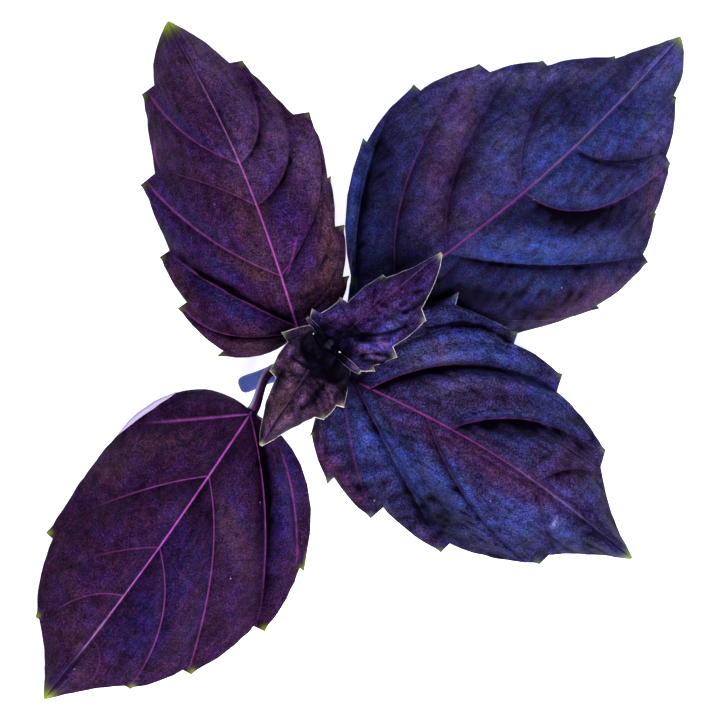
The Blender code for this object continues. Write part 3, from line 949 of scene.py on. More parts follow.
        drift = DRIFT[0] * ripple(x, y, DRIFT[1], self.seed + 1)
        spacing, slant, offset = CROSS_VEINS
        phase = out / spacing + slant * part + offset * panel[:, None] + drift
        blister = np.abs(np.sin(math.pi * phase)) ** 0.8 * between**0.7 * (1 - a**4)
        crossed = bell(np.sin(math.pi * phase), CROSS_LINE) * between**0.5 * (width > LEAST_CROSSED) * (1 - a)
        relief = np.minimum(width / FULL_BLISTER, 1) * (blister - BLISTER_LEVEL)
        for strength, size, step in WRINKLES:
            relief = relief + strength * channel * ripple(x, y, size, self.seed + step)
        strength, size, step = RIDGES
        across_panel = RIDGE_RUN * part * width + PANEL_STEP * panel[:, None]
        ridges = ripple(out + 0.8 * drift, across_panel, size, self.seed + step)
        relief = relief + strength * channel * ridges * between**0.4 * np.minimum(width / FULL_DETAIL, 1)
        height = height + self.blister * relief

        behind_gap, ahead_gap = (1 - part) * width, part * width
        vein = self.cross_ink * crossed * channel
        # painted shade in the relief's hollows and along the cross veins, painted highlight on its rises
        painted_shade = self.shading * np.clip(-relief, 0, 1) + CROSS_SHADE * crossed * channel
        blue_and_highlight = BRIGHT_SHARE * self.shading * np.clip(relief, 0, 1)
        inks, fades = by_vein([v.ink for v in side.veins]), by_vein([v.fade for v in side.veins], 1.0)
        stretch = np.sin(math.pi * np.clip(a, 0, 1) ** 0.75) ** 0.8
        line = VEIN_LINE[0] - VEIN_LINE[1] * a
        tints = (by_vein([v.ahead for v in side.veins])[0], by_vein([v.behind for v in side.veins])[1])
        for ink, fade, gap, tint in zip(inks, fades, (ahead_gap, behind_gap), tints):
            vein = np.maximum(vein, ink * bell(gap, line) / (1 + np.exp((a - fade) / FADE_SOFTNESS)))
            height = height - VEIN_GROOVE[0] * np.minimum(ink * 2, 1) * bell(gap, VEIN_GROOVE[1]) * channel
            shadow = sum(dark * bell(gap - away, wide) for dark, away, wide in VEIN_SHADOWS)
            beside = shadow * np.minimum(width / FULL_DETAIL, 1)
            # painted shade beside the vein where its tint is above 0, painted bluish highlight where below
            painted_shade += np.clip(tint, 0, 1) * beside * stretch
            blue_and_highlight += np.clip(-tint, 0, 1) * bell(gap - VEIN_HIGHLIGHT[0], VEIN_HIGHLIGHT[1]) * stretch
        rib_ink = eased(self.midrib_ink, along / self.length)[:, None]
        rib_line = self.midrib_width * (1 - RIB_TAPER * along / self.length)[:, None]
        vein = np.maximum(vein, rib_ink * bell(out, rib_line))
        height = height + RIB_RIDGE[0] * bell(out, RIB_RIDGE[1])

        tones = np.zeros((*x.shape, len(Tone)))
        self.add_patches(tones, x, y)
        for crease in self.creases:
            gap = crease.distance(x, y)
            height = height - crease.depth * bell(gap, crease.width)
            vein = np.maximum(vein, crease.ink * bell(gap, CREASE_LINE))
            # painted shade along the crease
            painted_shade += crease.shade * bell(gap, crease.width)
        tones[..., Tone.COOL.value] += blue_and_highlight
        # painted shade along the midrib
        halo = HALO[0] * bell(out, HALO[1]) * (1 - along / self.length)[:, None]
        tones[..., Tone.DEEP.value] += painted_shade + halo
        outer = np.clip(2.2 * along / self.length - 1.1, 0, 1)[:, None]
        tones[..., Tone.PALE.value] += PALE_RIB[0] * outer * bell(out, PALE_RIB[1])
        height = 0.5 * (height + np.sqrt(height**2 + REST_SOFTNESS**2))

        rolled = roll[:, :1]
        inside = inward < rolled
        past = np.clip(rolled - inward, 0, None) / np.maximum(radius, 1e-6)
        fold = ends[:, None] - toward[:, None] * rolled[..., None]
        turned = fold + toward[:, None] * (radius * np.sin(past))[..., None]
        plan = np.where(inside[..., None], turned, plan)
        height = height + np.where(inside, np.sign(angle) * radius * (1 - np.cos(past)), 0)

        tips = np.array([(tooth[0], tooth[1] * sign) for tooth in side.teeth] + [(self.length, 0.0)])
        reach_of_tip = np.array([TOOTH_REACH] * len(side.teeth) + [self.tip_reach])
        tip_gap = np.linalg.norm(plan[:, :, None] - tips, axis=-1) / reach_of_tip
        strength = np.array([self.tooth_ink] * len(side.teeth) + [min(self.tip_reach, MOST_TIP)])
        tip = (strength * np.exp(-(tip_gap**2))).max(axis=-1)
        rim = eased(side.rim, reach_along / self.length)[:, None]
        return {
            "plan": plan,
            "height": height,
            "inward": inward,
            "vein": vein,
            "rim": rim * np.exp(-((inward / self.rim_width) ** 2)),
            "tip": tip,
            "under": np.zeros_like(height),
            "shown": np.clip(np.sign(angle) * rolled, 0, 1) + np.zeros_like(height),
            "tones": tones,
        }

    def petiole(self) -> dict[str, Array]:
        """Plan points, heights and masks of the petiole, a strip on a cubic curve from the stem.

        Returns:
            The same arrays as half gives, over the petiole's rows and all columns.
        """
        turn = math.radians(self.heading)
        into = np.array([[math.cos(turn), math.sin(turn)], [-math.sin(turn), math.cos(turn)]])
        joint = into @ (np.array(self.joint[:2]) - self.base)
        angle = math.radians(self.leave - self.heading)
        out = np.array([math.cos(angle), math.sin(angle)])
        start = joint + self.clear * out
        pull = np.hypot(*start) / 3
        t = np.linspace(0, 1, self.petiole_rows, endpoint=False)[:, None]
        centre = (
            (1 - t) ** 3 * start
            + 3 * t * (1 - t) ** 2 * (start + pull * out)
            + 3 * t**2 * (1 - t) * np.array([-pull, 0.0])
        )
        ahead = (1 - t) * out + t * np.array([1.0, 0.0])
        ahead /= np.linalg.norm(ahead, axis=1, keepdims=True)
        sideways = np.stack([-ahead[:, 1], ahead[:, 0]], axis=1)
        half = self.shares()
        across = np.concatenate([-half[:0:-1], half])
        plan = centre[:, None] + self.neck * across[None, :, None] * sideways[:, None]
        low = self.joint[2] + self.rib_thickness / 2
        climb = np.clip(t + 0.35 * np.sin(math.pi * t), 0, 1)
        height = low + (self.rib[0] - low) * climb + 0.25 * (np.sqrt(1 - across**2) - 1)
        zero = np.zeros_like(height)
        tones = np.zeros((*height.shape, len(Tone)))
        tones[..., Tone.WARM.value] = 0.5
        # painted shade, darkest where the petiole leaves the stem
        tones[..., Tone.DEEP.value] = 0.5 * (1 - t)
        x, y = self.on_sprig(plan)
        self.add_patches(tones, x, y)
        return {
            "plan": plan,
            "height": height,
            "inward": zero + 2 * self.neck,
            "vein": 0.5 * self.midrib_ink[0] * (0.1 + 0.9 * t * bell(across[None, :], 0.3)),
            "rim": zero,
            "tip": zero,
            "shown": zero,
            "under": self.pale_flank / (1 + np.exp((across[None, :] + 0.45) / 0.08)) + zero,
            "tones": tones,
        }

    def surface(self) -> tuple[Array, Array, dict[str, Array]]:
        """The upper skin's points, the thickness below each, and the masks.

        Returns:
            Points in the sprig's millimetres, thickness, and arrays by name.
        """
        steps = self.steps()
        places = [0.0, *self.stations, self.length]
        along = np.interp(steps, np.arange(len(places)), places)
        bow = self.bow * np.sin(math.pi * along / self.length)
        mid = np.stack([along, bow], axis=1)
        left = self.half(self.left, 1, steps, along, mid)
        right = self.half(self.right, -1, steps, along, mid)
        stalk = self.petiole()
        whole = {}
        for name, values in left.items():
            blade = np.concatenate([right[name][:, :0:-1], values], axis=1)
            whole[name] = np.concatenate([stalk[name], blade], axis=0)
        points = np.stack([*self.on_sprig(whole["plan"]), whole["height"]], axis=-1)
        centre = points[:, self.columns : self.columns + 1]
        off = np.linalg.norm(points - centre, axis=-1)
        fade = np.concatenate([np.zeros(self.petiole_rows), along / self.length])[:, None]
        rib = (self.rib_thickness - self.thickness) * (1 - RIB_BULGE[0] * fade)
        thickness = self.thickness + rib * bell(off, RIB_BULGE[1])
        thickness = thickness + VEIN_BULGE[0] * whole["vein"] * (off > VEIN_BULGE[1])
        edge, width = SKIN_ROUNDING
        return points, thickness * (1 - edge * bell(whole["inward"], width)), whole

    def build(self) -> bpy.types.Object:
        """Makes the closed leaf: the upper skin, the lower skin a thickness below it, and the rim.

        The thickness is measured straight down, except where a roll shows the underside.

        Returns:
            The leaf's object, dressed and in place.
        """
        points, thickness, masks = self.surface()
        normal = grid_normals(points)
        shown = masks["shown"][..., None]
        through = shown * normal + (1 - shown) * np.array([0.0, 0.0, 1.0])
        through /= np.maximum(np.linalg.norm(through, axis=-1, keepdims=True), 0.1)
        lower = points - through * thickness[..., None]
        both = np.concatenate([points.reshape(-1, 3), lower.reshape(-1, 3)])
        both += seat(both, self.node, self.seated)
        obj = make_object(f"{self.node}_skin", both, shell_faces(*points.shape[:2]))

        count = points.shape[0] * points.shape[1]
        marks = np.zeros((2 * count, 4))
        tones = np.zeros((2 * count, 4))
        for column, name in enumerate(("vein", "rim", "tip", "under")):
            marks[:, column] = np.tile(np.clip(masks[name].reshape(-1), 0, 1), 2)
        tones[:] = np.tile(np.clip(masks["tones"].reshape(-1, len(Tone)), 0, 1), (2, 1))
        dark_edge = bell(masks["inward"], 0.8) * (1 - masks["shown"])
        marks[count:, 3] = (0.9 - 0.5 * marks[count:, 0]) * (1 - dark_edge.reshape(-1))
        write_attribute(obj, "marks", marks)
        write_attribute(obj, "tones", tones)
        obj.data.materials.append(self.hue.value.material())
        return obj


SHOOT_SHADE = (-5.4, 1.2, 5.0, 4.2, 1.0, -40)  # the dark round the shoot, in a Patch's own order


def leaves() -> tuple[Leaf, ...]:
    """The sprig's leaves, lowest pair first.

    Returns:
        One Leaf for each leaf node.
    """
    lower, upper, young_joint, shoot = (joint[:3] for joint in STEM_JOINTS[1:])
    young = {
        "slot": "young_leaf", "bow": 0.0, "seated": None, "rib_thickness": 0.9, "shading": 0.9, "quilt": 0.18,
        "blister": 0.46, "minor": 0.35, "thickness": 0.32, "hook": 0.15, "wobble": 0.1, "tooth_ink": 0.2,
        "petiole_rows": 8, "columns": 48,
    }
    bud = {
        "slot": "bud", "hue": Hue.VIOLET, "joint": shoot, "neck": 0.4, "rib_thickness": 0.4,
        "midrib_ink": (0.0, 0.0), "quilt": 0.0, "blister": 0.0, "minor": 0.0, "thickness": 0.14, "hook": 0.0,
        "wobble": 0.03, "rim_width": 0.06, "tip_reach": 0.25, "tooth_ink": 0.0, "petiole_rows": 6,
        "columns": 24, "rows_per_panel": 24,
    }
    northeast = Leaf(
        node="lower_leaf_northeast", slot="indigo_leaf", hue=Hue.INDIGO, seed=11,
        joint=lower, leave=32, clear=3.6,
        base=(-3.7, 5.3), heading=40.4, length=75.5, bow=-2.8,
        rib=(13.2, 15.6, 13.2, 7.2, 1.0),
        stations=(5, 11.8, 21.8, 38, 49.6, 62),
        left=Side(
            shoulder=(4, 1.2),
            teeth=(
                (7, 4.2, 0), (23.5, 20.9, 0.5, 0.09), (35.5, 22.4, 1.3),
                (46, 18.3, 2.2), (54.6, 12, 1.2), (64.5, 4.8, 0.4),
            ),
            taper=0.0,
            veins=(
                Vein(2.6, dip=1.2, behind=-0.9, ahead=0.5, sweep=(0.3, 0.65)),
                Vein(3.83, ink=0.35, fade=0.8, dip=0.6, ahead=0.3, sweep=(0.25, 0.7)),
                Vein(4.5, ink=0.12, dip=1.5, ahead=0.35, behind=0.35, sweep=(0.25, 0.69)),
                Vein(5.3, ink=0.28, fade=0.8, dip=0.5, sweep=(0.15, 0.65)),
                Vein(5.7, dip=0.3),
                Vein(6.3, dip=0.3),
            ),
            edge=(12.0, 11.5, 9.0, 4.5, 0.8),
            rim=(0.1, 0.15, 0.1, 0.1, 0.2),
        ),
        right=Side(
            shoulder=(11, 17),
            teeth=((35.5, 25.4, 0.3), (46.5, 25, 1.4), (52.8, 19.8, 0.3), (60, 15, 1.4), (68, 7.3, 0.6)),
            taper=0.1,
            veins=(
                Vein(0.6, dip=0.6),
                Vein(0.97, dip=0.8, behind=0.3),
                Vein(1.99, ink=0.10, dip=1.5, ahead=-0.7, behind=0.7, sweep=(0.37, 0.58)),
                Vein(3.96, ink=0.28, fade=1.0, dip=1.2, ahead=-0.4, behind=0.5, sweep=(0.12, 1.05)),
                Vein(4.1, ink=0.12, fade=0.7, behind=0.4, sweep=(0.07, 0.6)),
                Vein(4.96, dip=0.4),
            ),
            edge=(11.5, 7.5, 2.0, 2.5, 0.8),
            rim=(0.5, 0.3, 0.15, 0.2, 0.3),
        ),
        neck=1.0, rib_thickness=1.7, midrib_ink=(0.5, 0.8, 0.9, 0.85, 0.6), midrib_width=0.24,
        # bluish tint, partly painted highlight
        blue_and_highlight=(
            (33.7, 33.8, 9, 4, 0.55, 40), (29, 18.8, 12, 2.3, 0.9), (28, 12.6, 9, 2.2, 0.5),
            (-1, 27, 9, 1.6, 0.9, 80), (46.7, 41.7, 7, 4, 0.4, 40), (52, 50.5, 5, 2.4, 0.6, 50),
            (22, 30, 8, 3, 0.4, 60),
        ),
        warm=(
            (14.8, 35, 13, 3.6, 0.9, 74), (18.5, 24.7, 8, 4, 0.5, 45), (35.6, 9.3, 9, 2.6, 1.3, 27),
            (49.2, 28, 7, 1.8, 0.6, 75),
        ),
        # painted shade
        painted_shade=(
            (32, 8.8, 9, 2.4, 0.6, 27), (38, 22.8, 10, 2.6, 0.5, 5), (19, 10.5, 10, 3.4, 0.9),
            (8, 14, 9, 5, 0.55), (35, 43, 6, 3, 0.15), (5, 35, 5, 4, 0.15), (2, 27, 3.5, 8, 0.5),
            (32, 24.0, 11, 2.4, 0.3), (33, 40, 7, 2.2, 0.18, 15), (5, 30, 2.4, 8, 0.35),
            (24, 23, 7, 2.4, 0.25), SHOOT_SHADE,
        ),
        pale=(
            (51, 50.5, 6, 2.4, 0.22, 50), (28, 47.3, 14, 1.8, 0.30, 6), (24, 36, 5, 4, 0.13, 45),
            (15, 39.5, 5, 3, 0.12, 70), (50, 36, 2.0, 9, 0.10),
        ),
        creases=(
            Crease((41.3, 38), (45, 36.6), (48.8, 37.2), 0.25, 0.3, shade=0.5),
            Crease((36, 34.5), (41, 32.0), (45, 32.3), 0.3, 0.4, shade=0.4),
            Crease((43.2, 42.5), (45, 41.6), (46.5, 42), 0.2, 0.3, shade=0.4),
            Crease((23, 39), (25.5, 33), (27.8, 30), 0.15, 0.3, shade=0.2),
        ),
    )
    southwest = Leaf(
        node="lower_leaf_southwest", slot="aubergine_leaf", hue=Hue.PLUM, seed=23,
        joint=lower, leave=195, clear=3.6,
        base=(-17.7, -8.3), heading=-126, length=59.7, bow=0.8,
        rib=(12.4, 12.8, 10.0, 5.0, 1.0),
        stations=(0.6, 12.8, 27.2, 37.4, 46.5),
        left=Side(
            shoulder=(-0.5, 16),
            teeth=((16.5, 22.2, 0.5), (28.5, 23, 1.8), (41.5, 17.4, 1.4), (49.5, 10.8, 1.1)),
            taper=-0.03,
            veins=(
                Vein(1.99, ink=0.4, fade=0.75, dip=1.9, behind=0.85, ahead=0.2, sweep=(0.37, 0.59)),
                Vein(2.97, ink=0.42, fade=0.95, dip=0.6, ahead=-0.3, sweep=(0.3, 0.6)),
                Vein(3.96, ink=0.38, fade=0.85, dip=0.5, behind=-0.3, sweep=(0.34, 1.0)),
                Vein(4.25, dip=0.3),
                Vein(4.5, ink=0.12, dip=0.3, sweep=(0.1, 1.1)),
            ),
            edge=(9.0, 3.2, 1.2, 1.0, 0.8),
            rim=(0.2, 0.2, 0.6, 0.6, 0.5),
        ),
        right=Side(
            shoulder=(-1, 19.6),
            teeth=((36.5, 15.7, 1.1), (49, 9.3, 0.8)),
            taper=-0.04,
            veins=(
                Vein(0.6, ink=0.4, fade=0.62, dip=0.7, behind=0.35, sweep=(0.69, 0.66)),
                Vein(0.93, ink=0.48, fade=0.62, dip=0.5, sweep=(0.33, 0.5)),
                Vein(1.5, ink=0.2, fade=0.5, dip=0.4, sweep=(0.35, 0.6)),
                Vein(2.05, ink=0.3, fade=0.75, dip=0.4, sweep=(0.2, 0.75)),
                Vein(2.5, dip=0.3),
            ),
            edge=(10.0, 6.5, 4.0, 2.0, 0.8),
            curls=(Curl(3.2, 18, 2.6, 200),),
            rim=(0.5, 0.5, 0.6, 0.5, 0.4),
        ),
        neck=0.95, rib_thickness=1.6, midrib_ink=(0.55, 1.0, 1.0, 1.0, 0.8), pale_flank=0.85,
        midrib_width=0.18, blister=0.12, minor=0.1, tip_reach=1.5, tooth_ink=0.45,
        # bluish tint, partly painted highlight
        blue_and_highlight=(
            (-12.5, -23.5, 12, 2.6, 1.0, 82), (-20, -25.3, 4, 1.2, 0.7, 110),
            (-28.8, -30.8, 7, 4, 0.5, 70), (-37.5, -46.7, 7, 4, 0.45), (-36, -42, 8, 3.5, 0.6, 50),
        ),
        warm=(
            (-21.7, -27, 7, 2.4, 0.7, 110), (-41.2, -18, 6, 3.5, 0.55, 45), (-31.5, -13.5, 5, 2.4, 0.6),
            (-47, -45, 10, 2.5, 0.4, 95),
        ),
        # painted shade
        painted_shade=(
            (-20.5, -14, 4.5, 5, 0.5, 60), (-25.5, -26, 2.4, 9, 0.55), (-36, -43, 6, 5, 0.4, 50),
            (-21.5, -22, 1.3, 9, 0.1), (-15.8, -20, 1.8, 9, 0.5), (-33, -32, 3, 6, 0.25, -35),
            (-17, -7.5, 3.5, 3, 0.6), (-35, -22, 6, 3, 0.25, 20), (-27.5, -21, 2.5, 4, 0.35),
        ),
        creases=(
            Crease((-13, -14.8), (-10.2, -22), (-10.4, -33.3), -0.12, 0.35, ink=0.3),
            Crease((-33.5, -13), (-31, -15), (-28.5, -13.2), 0.18, 0.4, shade=0.25),
        ),
    )
    northwest = Leaf(
        node="upper_leaf_northwest", slot="aubergine_leaf", hue=Hue.AUBERGINE, seed=37,
        joint=upper, leave=150, clear=2.3,
        base=(-10.0, 4.2), heading=113, length=57, bow=-1.9,
        rib=(19.4, 20.6, 16.5, 9.0, 1.0),
        stations=(0.5, 1.4, 9.9, 22, 29.6, 40.5),
        left=Side(
            shoulder=(-2.5, 7),
            teeth=(
                (2, 13.5, 0.9), (11.5, 16.5, 1.5), (20.5, 16.2, 1.7),
                (33, 14.5, 2.6, 0), (47, 8.6, 2.3, 0),
            ),
            taper=0.08,
            veins=(
                Vein(1.97, ink=0.32, fade=0.95, dip=1.1, behind=0.5, sweep=(0.2, 0.85)),
                Vein(3.0, ink=0.28, dip=1.5, ahead=1.0, behind=-0.6, sweep=(0.58, 0.74)),
                Vein(3.97, ink=0.42, fade=1.0, ahead=-0.6, behind=0.25, sweep=(0.39, 0.66)),
                Vein(4.05, ink=0.34, fade=0.75, dip=0.6, behind=0.15, sweep=(0.52, 0.4)),
                Vein(4.97, ink=0.35, fade=0.95, ahead=-0.7, sweep=(0.38, 0.79)),
                Vein(5.35, dip=0.3),
            ),
            edge=(16.5, 12.5, 7.0, 3.0, 0.8),
            rim=(0.6, 0.4, 0.3, 0.3, 0.6),
        ),
        right=Side(
            shoulder=(0, 8),
            teeth=(
                (5.5, 11, 0.8), (13.4, 13.5, 1.4), (21.7, 14.6, 0.3),
                (33, 15.5, 2.3), (45.5, 8.8, 2.0, 0),
            ),
            taper=0.04,
            veins=(
                Vein(0.9, dip=0.8),
                Vein(1.9, dip=0.9, behind=0.3),
                Vein(3.9, ink=0.35, fade=0.4, behind=0.7, sweep=(0.3, 1.05)),
                Vein(4.3, ink=0.15, fade=0.5, dip=1.1, behind=0.7, sweep=(0.15, 1.0)),
                Vein(4.97, ink=0.2, fade=0.7, dip=1.1, behind=0.6, sweep=(0.15, 1.25)),
                Vein(5.4, dip=0.3),
            ),
            edge=(17.0, 15.5, 10.5, 5.0, 0.8),
            rim=(0.7, 0.6, 0.5, 0.7, 0.7),
        ),
        neck=0.9, rib_thickness=1.5, midrib_ink=(0.8, 1.0, 1.0, 0.9, 0.8), tip_reach=1.8, midrib_width=0.18,
        # bluish tint, partly painted highlight
        blue_and_highlight=(
            (-21.8, 14.7, 3.2, 1.1, 1.0, -30), (-21, 8.8, 5, 1.6, 0.8, -32), (-29, 19, 6, 3, 0.5, -50),
            (-12.5, 24, 10, 3, 0.4, 105), (-33, 27, 5, 2, 0.4, 110),
        ),
        warm=(
            (-18.3, 23, 9, 3, 0.6, 113), (-17.8, 14.8, 4.5, 1.8, 0.8, -30), (-4.8, 18, 15, 1.9, 1.1, 97),
            (-7.5, 11, 6, 3, 0.6, 60), (-18.3, 2.5, 6, 2.4, 0.9), (-30.3, 12, 6, 1.8, 0.8, -60),
            (-28, 46, 7, 4, 0.35, 110),
        ),
        # painted shade
        painted_shade=((-13, 4, 4, 3.5, 0.6), (-20, 3, 5, 2, 0.35), SHOOT_SHADE,),
        pale=(
            (-26, 49, 6, 3.5, 0.16, 110), (-19.5, 33.5, 6, 2.8, 0.22, 110), (-18, 41, 6, 2, 0.10, -50),
            (-12, 34, 5, 3, 0.28, -60), (-7.5, 31, 8, 1.6, 0.20, 100),
        ),
        creases=(
            Crease((-23.3, 41.3), (-22.8, 37.5), (-20, 35.7), 0.3, 0.4, shade=0.5),
            Crease((-24.5, 38), (-22, 36.5), (-20.8, 33.5), 0.2, 0.35, shade=0.3),
            Crease((-11.8, 14.3), (-10.8, 17), (-10.5, 19.5), 0.12, 0.3, ink=0.35),
            Crease((-6.2, 26), (-6.4, 22), (-6.8, 19), 0.3, 0.3, shade=0.5),
            Crease((-4.8, 20), (-5.6, 17), (-6.6, 14.5), 0.3, 0.3, shade=0.5),
            Crease((-9.5, 13), (-7.5, 14), (-5.5, 17), 0.3, 0.35, shade=0.5),
            Crease((-10.5, 10), (-7.5, 10.5), (-5.3, 13), 0.3, 0.35, shade=0.45),
            Crease((-8.5, 7.5), (-6, 9), (-4.8, 10.5), 0.25, 0.35, shade=0.4),
            Crease((-24.5, 15.5), (-22.5, 14.7), (-21, 15.8), 0.25, 0.35, shade=0.3),
            Crease((-26.5, 13.8), (-23.5, 13), (-20.5, 11.5), 0.25, 0.4, shade=0.35),
            Crease((-33.6, 32.5), (-34.6, 34), (-34.2, 36.5), 0.1, 0.3, ink=0.35),
        ),
    )
    southeast = Leaf(
        node="upper_leaf_southeast", slot="indigo_leaf", hue=Hue.DUSK, seed=41,
        joint=upper, leave=-60, clear=2.3,
        base=(-3.7, -2.0), heading=-32.3, length=58, bow=2.4,
        rib=(19.2, 19.6, 15.5, 8.5, 1.0),
        stations=(0.4, 1.2, 2.9, 5.7, 15.9, 20.3, 37.3, 45.6),
        left=Side(
            shoulder=(2.5, 13),
            teeth=((9.5, 21.3, 1.6), (21, 21.3, 1.8, 0.02), (31, 19.5, 2.8), (44, 13, 2.8)),
            taper=-0.05,
            veins=(
                Vein(0.75, dip=0.6, behind=0.2),
                Vein(1.9, dip=0.8),
                Vein(2.5, dip=0.1, sweep=(0.34, 0.9)),
                Vein(2.99, ink=0.55, fade=0.55, dip=1.9, ahead=1.0, behind=-0.4, sweep=(0.34, 0.89)),
                Vein(3.7, dip=0.1, sweep=(0.35, 1.05)),
                Vein(3.97, ink=0.3, fade=0.55, dip=1.6, ahead=0.65, behind=-0.3, sweep=(0.35, 1.14)),
                Vein(4.1, ink=0.1, dip=0.8, ahead=0.4, sweep=(0.3, 0.95)),
                Vein(4.5, dip=0.3),
            ),
            edge=(17.8, 15.4, 9.5, 4.5, 0.8),
            rim=(0.95, 0.7, 0.15, 0.1, 0.1),
        ),
        right=Side(
            shoulder=(-0.5, 6),
            teeth=((1.6, 11, 0.1), (8, 16, 1.1), (17, 17.4, 2.5), (30, 16, 1.8), (45, 9.1, 2.2)),
            taper=-0.03,
            veins=(
                Vein(1.95, ink=0.15, dip=0.8),
                Vein(2.95, ink=0.25, fade=0.8, dip=1.1, ahead=-0.3, behind=0.3, sweep=(0.35, 0.55)),
                Vein(3.97, ink=0.22, fade=0.5, dip=1.7, ahead=-0.5, behind=0.6, sweep=(0.42, 0.46)),
                Vein(4.4, dip=0.1, sweep=(0.42, 0.65)),
                Vein(4.85, ink=0.3, fade=0.5, dip=1.5, ahead=-0.3, behind=0.5, sweep=(0.42, 0.84)),
                Vein(4.93, dip=0.1, sweep=(0.4, 0.75)),
                Vein(5.07, ink=0.12, dip=0.6, ahead=0.2, sweep=(0.37, 0.63)),
                Vein(5.5, dip=0.3),
            ),
            edge=(15.5, 9.0, 4.5, 2.0, 0.8),
            rim=(0.3, 0.1, 0.1, 0.1, 0.1),
        ),
        neck=0.9, rib_thickness=1.5, midrib_ink=(0.9, 0.95, 0.85, 0.6, 0.45), quilt=0.2, shading=0.7,
        blister=0.42, minor=0.3, rows_per_panel=28,
        # bluish tint, partly painted highlight
        blue_and_highlight=(
            (5, -14.5, 6.5, 1.8, 0.8, -57), (0.2, -14, 6, 2, 0.55, -70), (27.5, -26.5, 10, 4, 0.6, -15),
            (18, 4.5, 8, 2.6, 0.7, -20), (30, -5, 8, 2.4, 0.45, -40), (12, -20, 8, 3, 0.5, -50),
        ),
        warm=(
            (20, -16.2, 16, 2.6, 0.8, -32), (35, -17.5, 5, 4, 0.55), (17, -4.5, 9, 3.0, 0.4, -10),
            (-3.4, -20, 7, 2.0, 1.2, -52), (-7.5, -14, 4, 1.5, 0.8, -75), (11, -31, 5, 1.5, 0.6, -35),
        ),
        # painted shade
        painted_shade=(
            (16, 7.5, 5, 2, 0.3, -20), (17, -12.5, 9, 4, 0.25, -32), (14, -26, 7, 3, 0.5, -30),
            (8, -15, 4, 2.2, 0.3, -57), (12.5, -22, 3.5, 2.5, 0.35), (-1.5, -20.5, 3, 3, 0.3),
            (40, -30, 5, 2.5, 0.35, -30), (31, -8.5, 4, 3, 0.25), (9, -1, 5, 3, 0.4, 20),
            (25, -12.0, 9, 2.6, 0.3, -15), (0, -3.5, 4, 3.5, 0.6), SHOOT_SHADE,
        ),
        pale=(
            (32, -26.8, 0.9, 0.35, 0.9, 60), (10.5, 0.6, 5, 1.8, 0.36, 10), (15, -3.5, 5, 2.5, 0.14),
        ),
        creases=(
            Crease((8.1, 4.2), (18, 8.6), (24.4, 3.1), 0.4, 0.4, shade=0.6),
            Crease((11.7, -6.3), (16, -4.6), (20.8, -4.5), 0.35, 0.5, shade=0.35),
            Crease((19.4, -2), (19.2, -3.2), (18.6, -4.4), 0.2, 0.3, shade=0.2),
            Crease((28, -17.2), (30, -16.4), (31.7, -14.7), 0.3, 0.35, shade=0.6),
            Crease((4.8, -8.2), (4.8, -10), (5.9, -11.4), -0.2, 0.25, ink=0.2),
            Crease((7.4, -8.5), (7.4, -10), (7, -11.4), -0.2, 0.25, ink=0.2),
            Crease((21.2, -17.5), (21, -18.5), (20.4, -19.4), -0.2, 0.25, ink=0.15),
            Crease((24.4, -19), (24.2, -20.5), (24.4, -22.3), -0.2, 0.25, ink=0.15),
            Crease((14, -13), (15.4, -15), (17, -16), -0.15, 0.3),
            Crease((-6.2, -9.5), (-6.4, -12), (-5.8, -15), 0.2, 0.3, shade=0.3),
            Crease((12, -21.5), (13.5, -22.2), (15.5, -21.8), -0.12, 0.25),
            Crease((2, -16.5), (3, -15.5), (4, -13.8), -0.12, 0.25),
        ),
    )
    young_southwest = Leaf(
        **young, node="young_leaf_southwest", hue=Hue.BROWN, seed=53,
        joint=(-5.2, 3.6, 23.4), leave=237.3, clear=0.0,
        base=(-6.1, 2.31), heading=-122.7, length=19.2,
        rib=(23.9, 24.0, 22.0, 19.0, 15.0),
        stations=(2.1, 5.8, 10.7),
        left=Side(
            shoulder=(-4.0, 4.8),
            teeth=((6.4, 8, 1.1), (9.8, 6.4, 1.5)),
            taper=-0.01,
            veins=(Vein(0.95, dip=1.3), Vein(1.9, dip=1.3), Vein(2.35, dip=0.5)),
            edge=(23.8, 22.6, 20.2, 17.6, 15.0),
            rim=(0.3, 1.0, 1.0, 1.0),
        ),
        right=Side(
            shoulder=(-4.4, 2.6),
            teeth=((1.7, 6.9, 1.6), (7.8, 5.2, 1.3)),
            veins=(Vein(0.97, dip=1.3), Vein(1.9, dip=1.2), Vein(2.35, dip=0.5)),
            edge=(24.0, 23.2, 20.8, 18.0, 15.0),
            rim=(0.5, 1.1, 1.0, 1.0),
        ),
        neck=2.5, midrib_ink=(0.3, 0.8, 0.9, 0.6), midrib_width=0.16, tip_reach=0.6,
        # bluish tint, partly painted highlight
        blue_and_highlight=((-9.6, -0.4, 1.5, 0.9, 0.9, 30), (-10.8, 2, 1.0, 0.8, 0.8), (-5.0, -4, 0.7, 2.0, 0.7),),
        warm=((-12.8, -6, 5, 1.8, 0.6, 60),),
        # painted shade
        painted_shade=((-5, -0.5, 3.0, 4.5, 1.0, 30), (-7.2, 2.8, 3, 2.2, 0.8), SHOOT_SHADE,),
        creases=(
            Crease((-7.6, -1.0), (-9.5, -0.8), (-11.2, 0.6), 0.3, 0.35, shade=0.6),
            Crease((-9.2, -3.4), (-11, -3.6), (-12.4, -2.6), 0.25, 0.3, shade=0.5),
            Crease((-8.6, -5.0), (-7.2, -6.6), (-6.9, -8.8), 0.25, 0.3, shade=0.5),
            Crease((-7.2, -3.4), (-5.6, -4.6), (-5.0, -7.2), 0.3, 0.3, shade=0.5),
            Crease((-11.2, -6.4), (-12.6, -7.2), (-13.8, -7.0), 0.2, 0.3, shade=0.4),
            Crease((-9.8, -7.2), (-9.6, -8.8), (-10.2, -10.2), 0.2, 0.3, shade=0.4),
        ),
    )
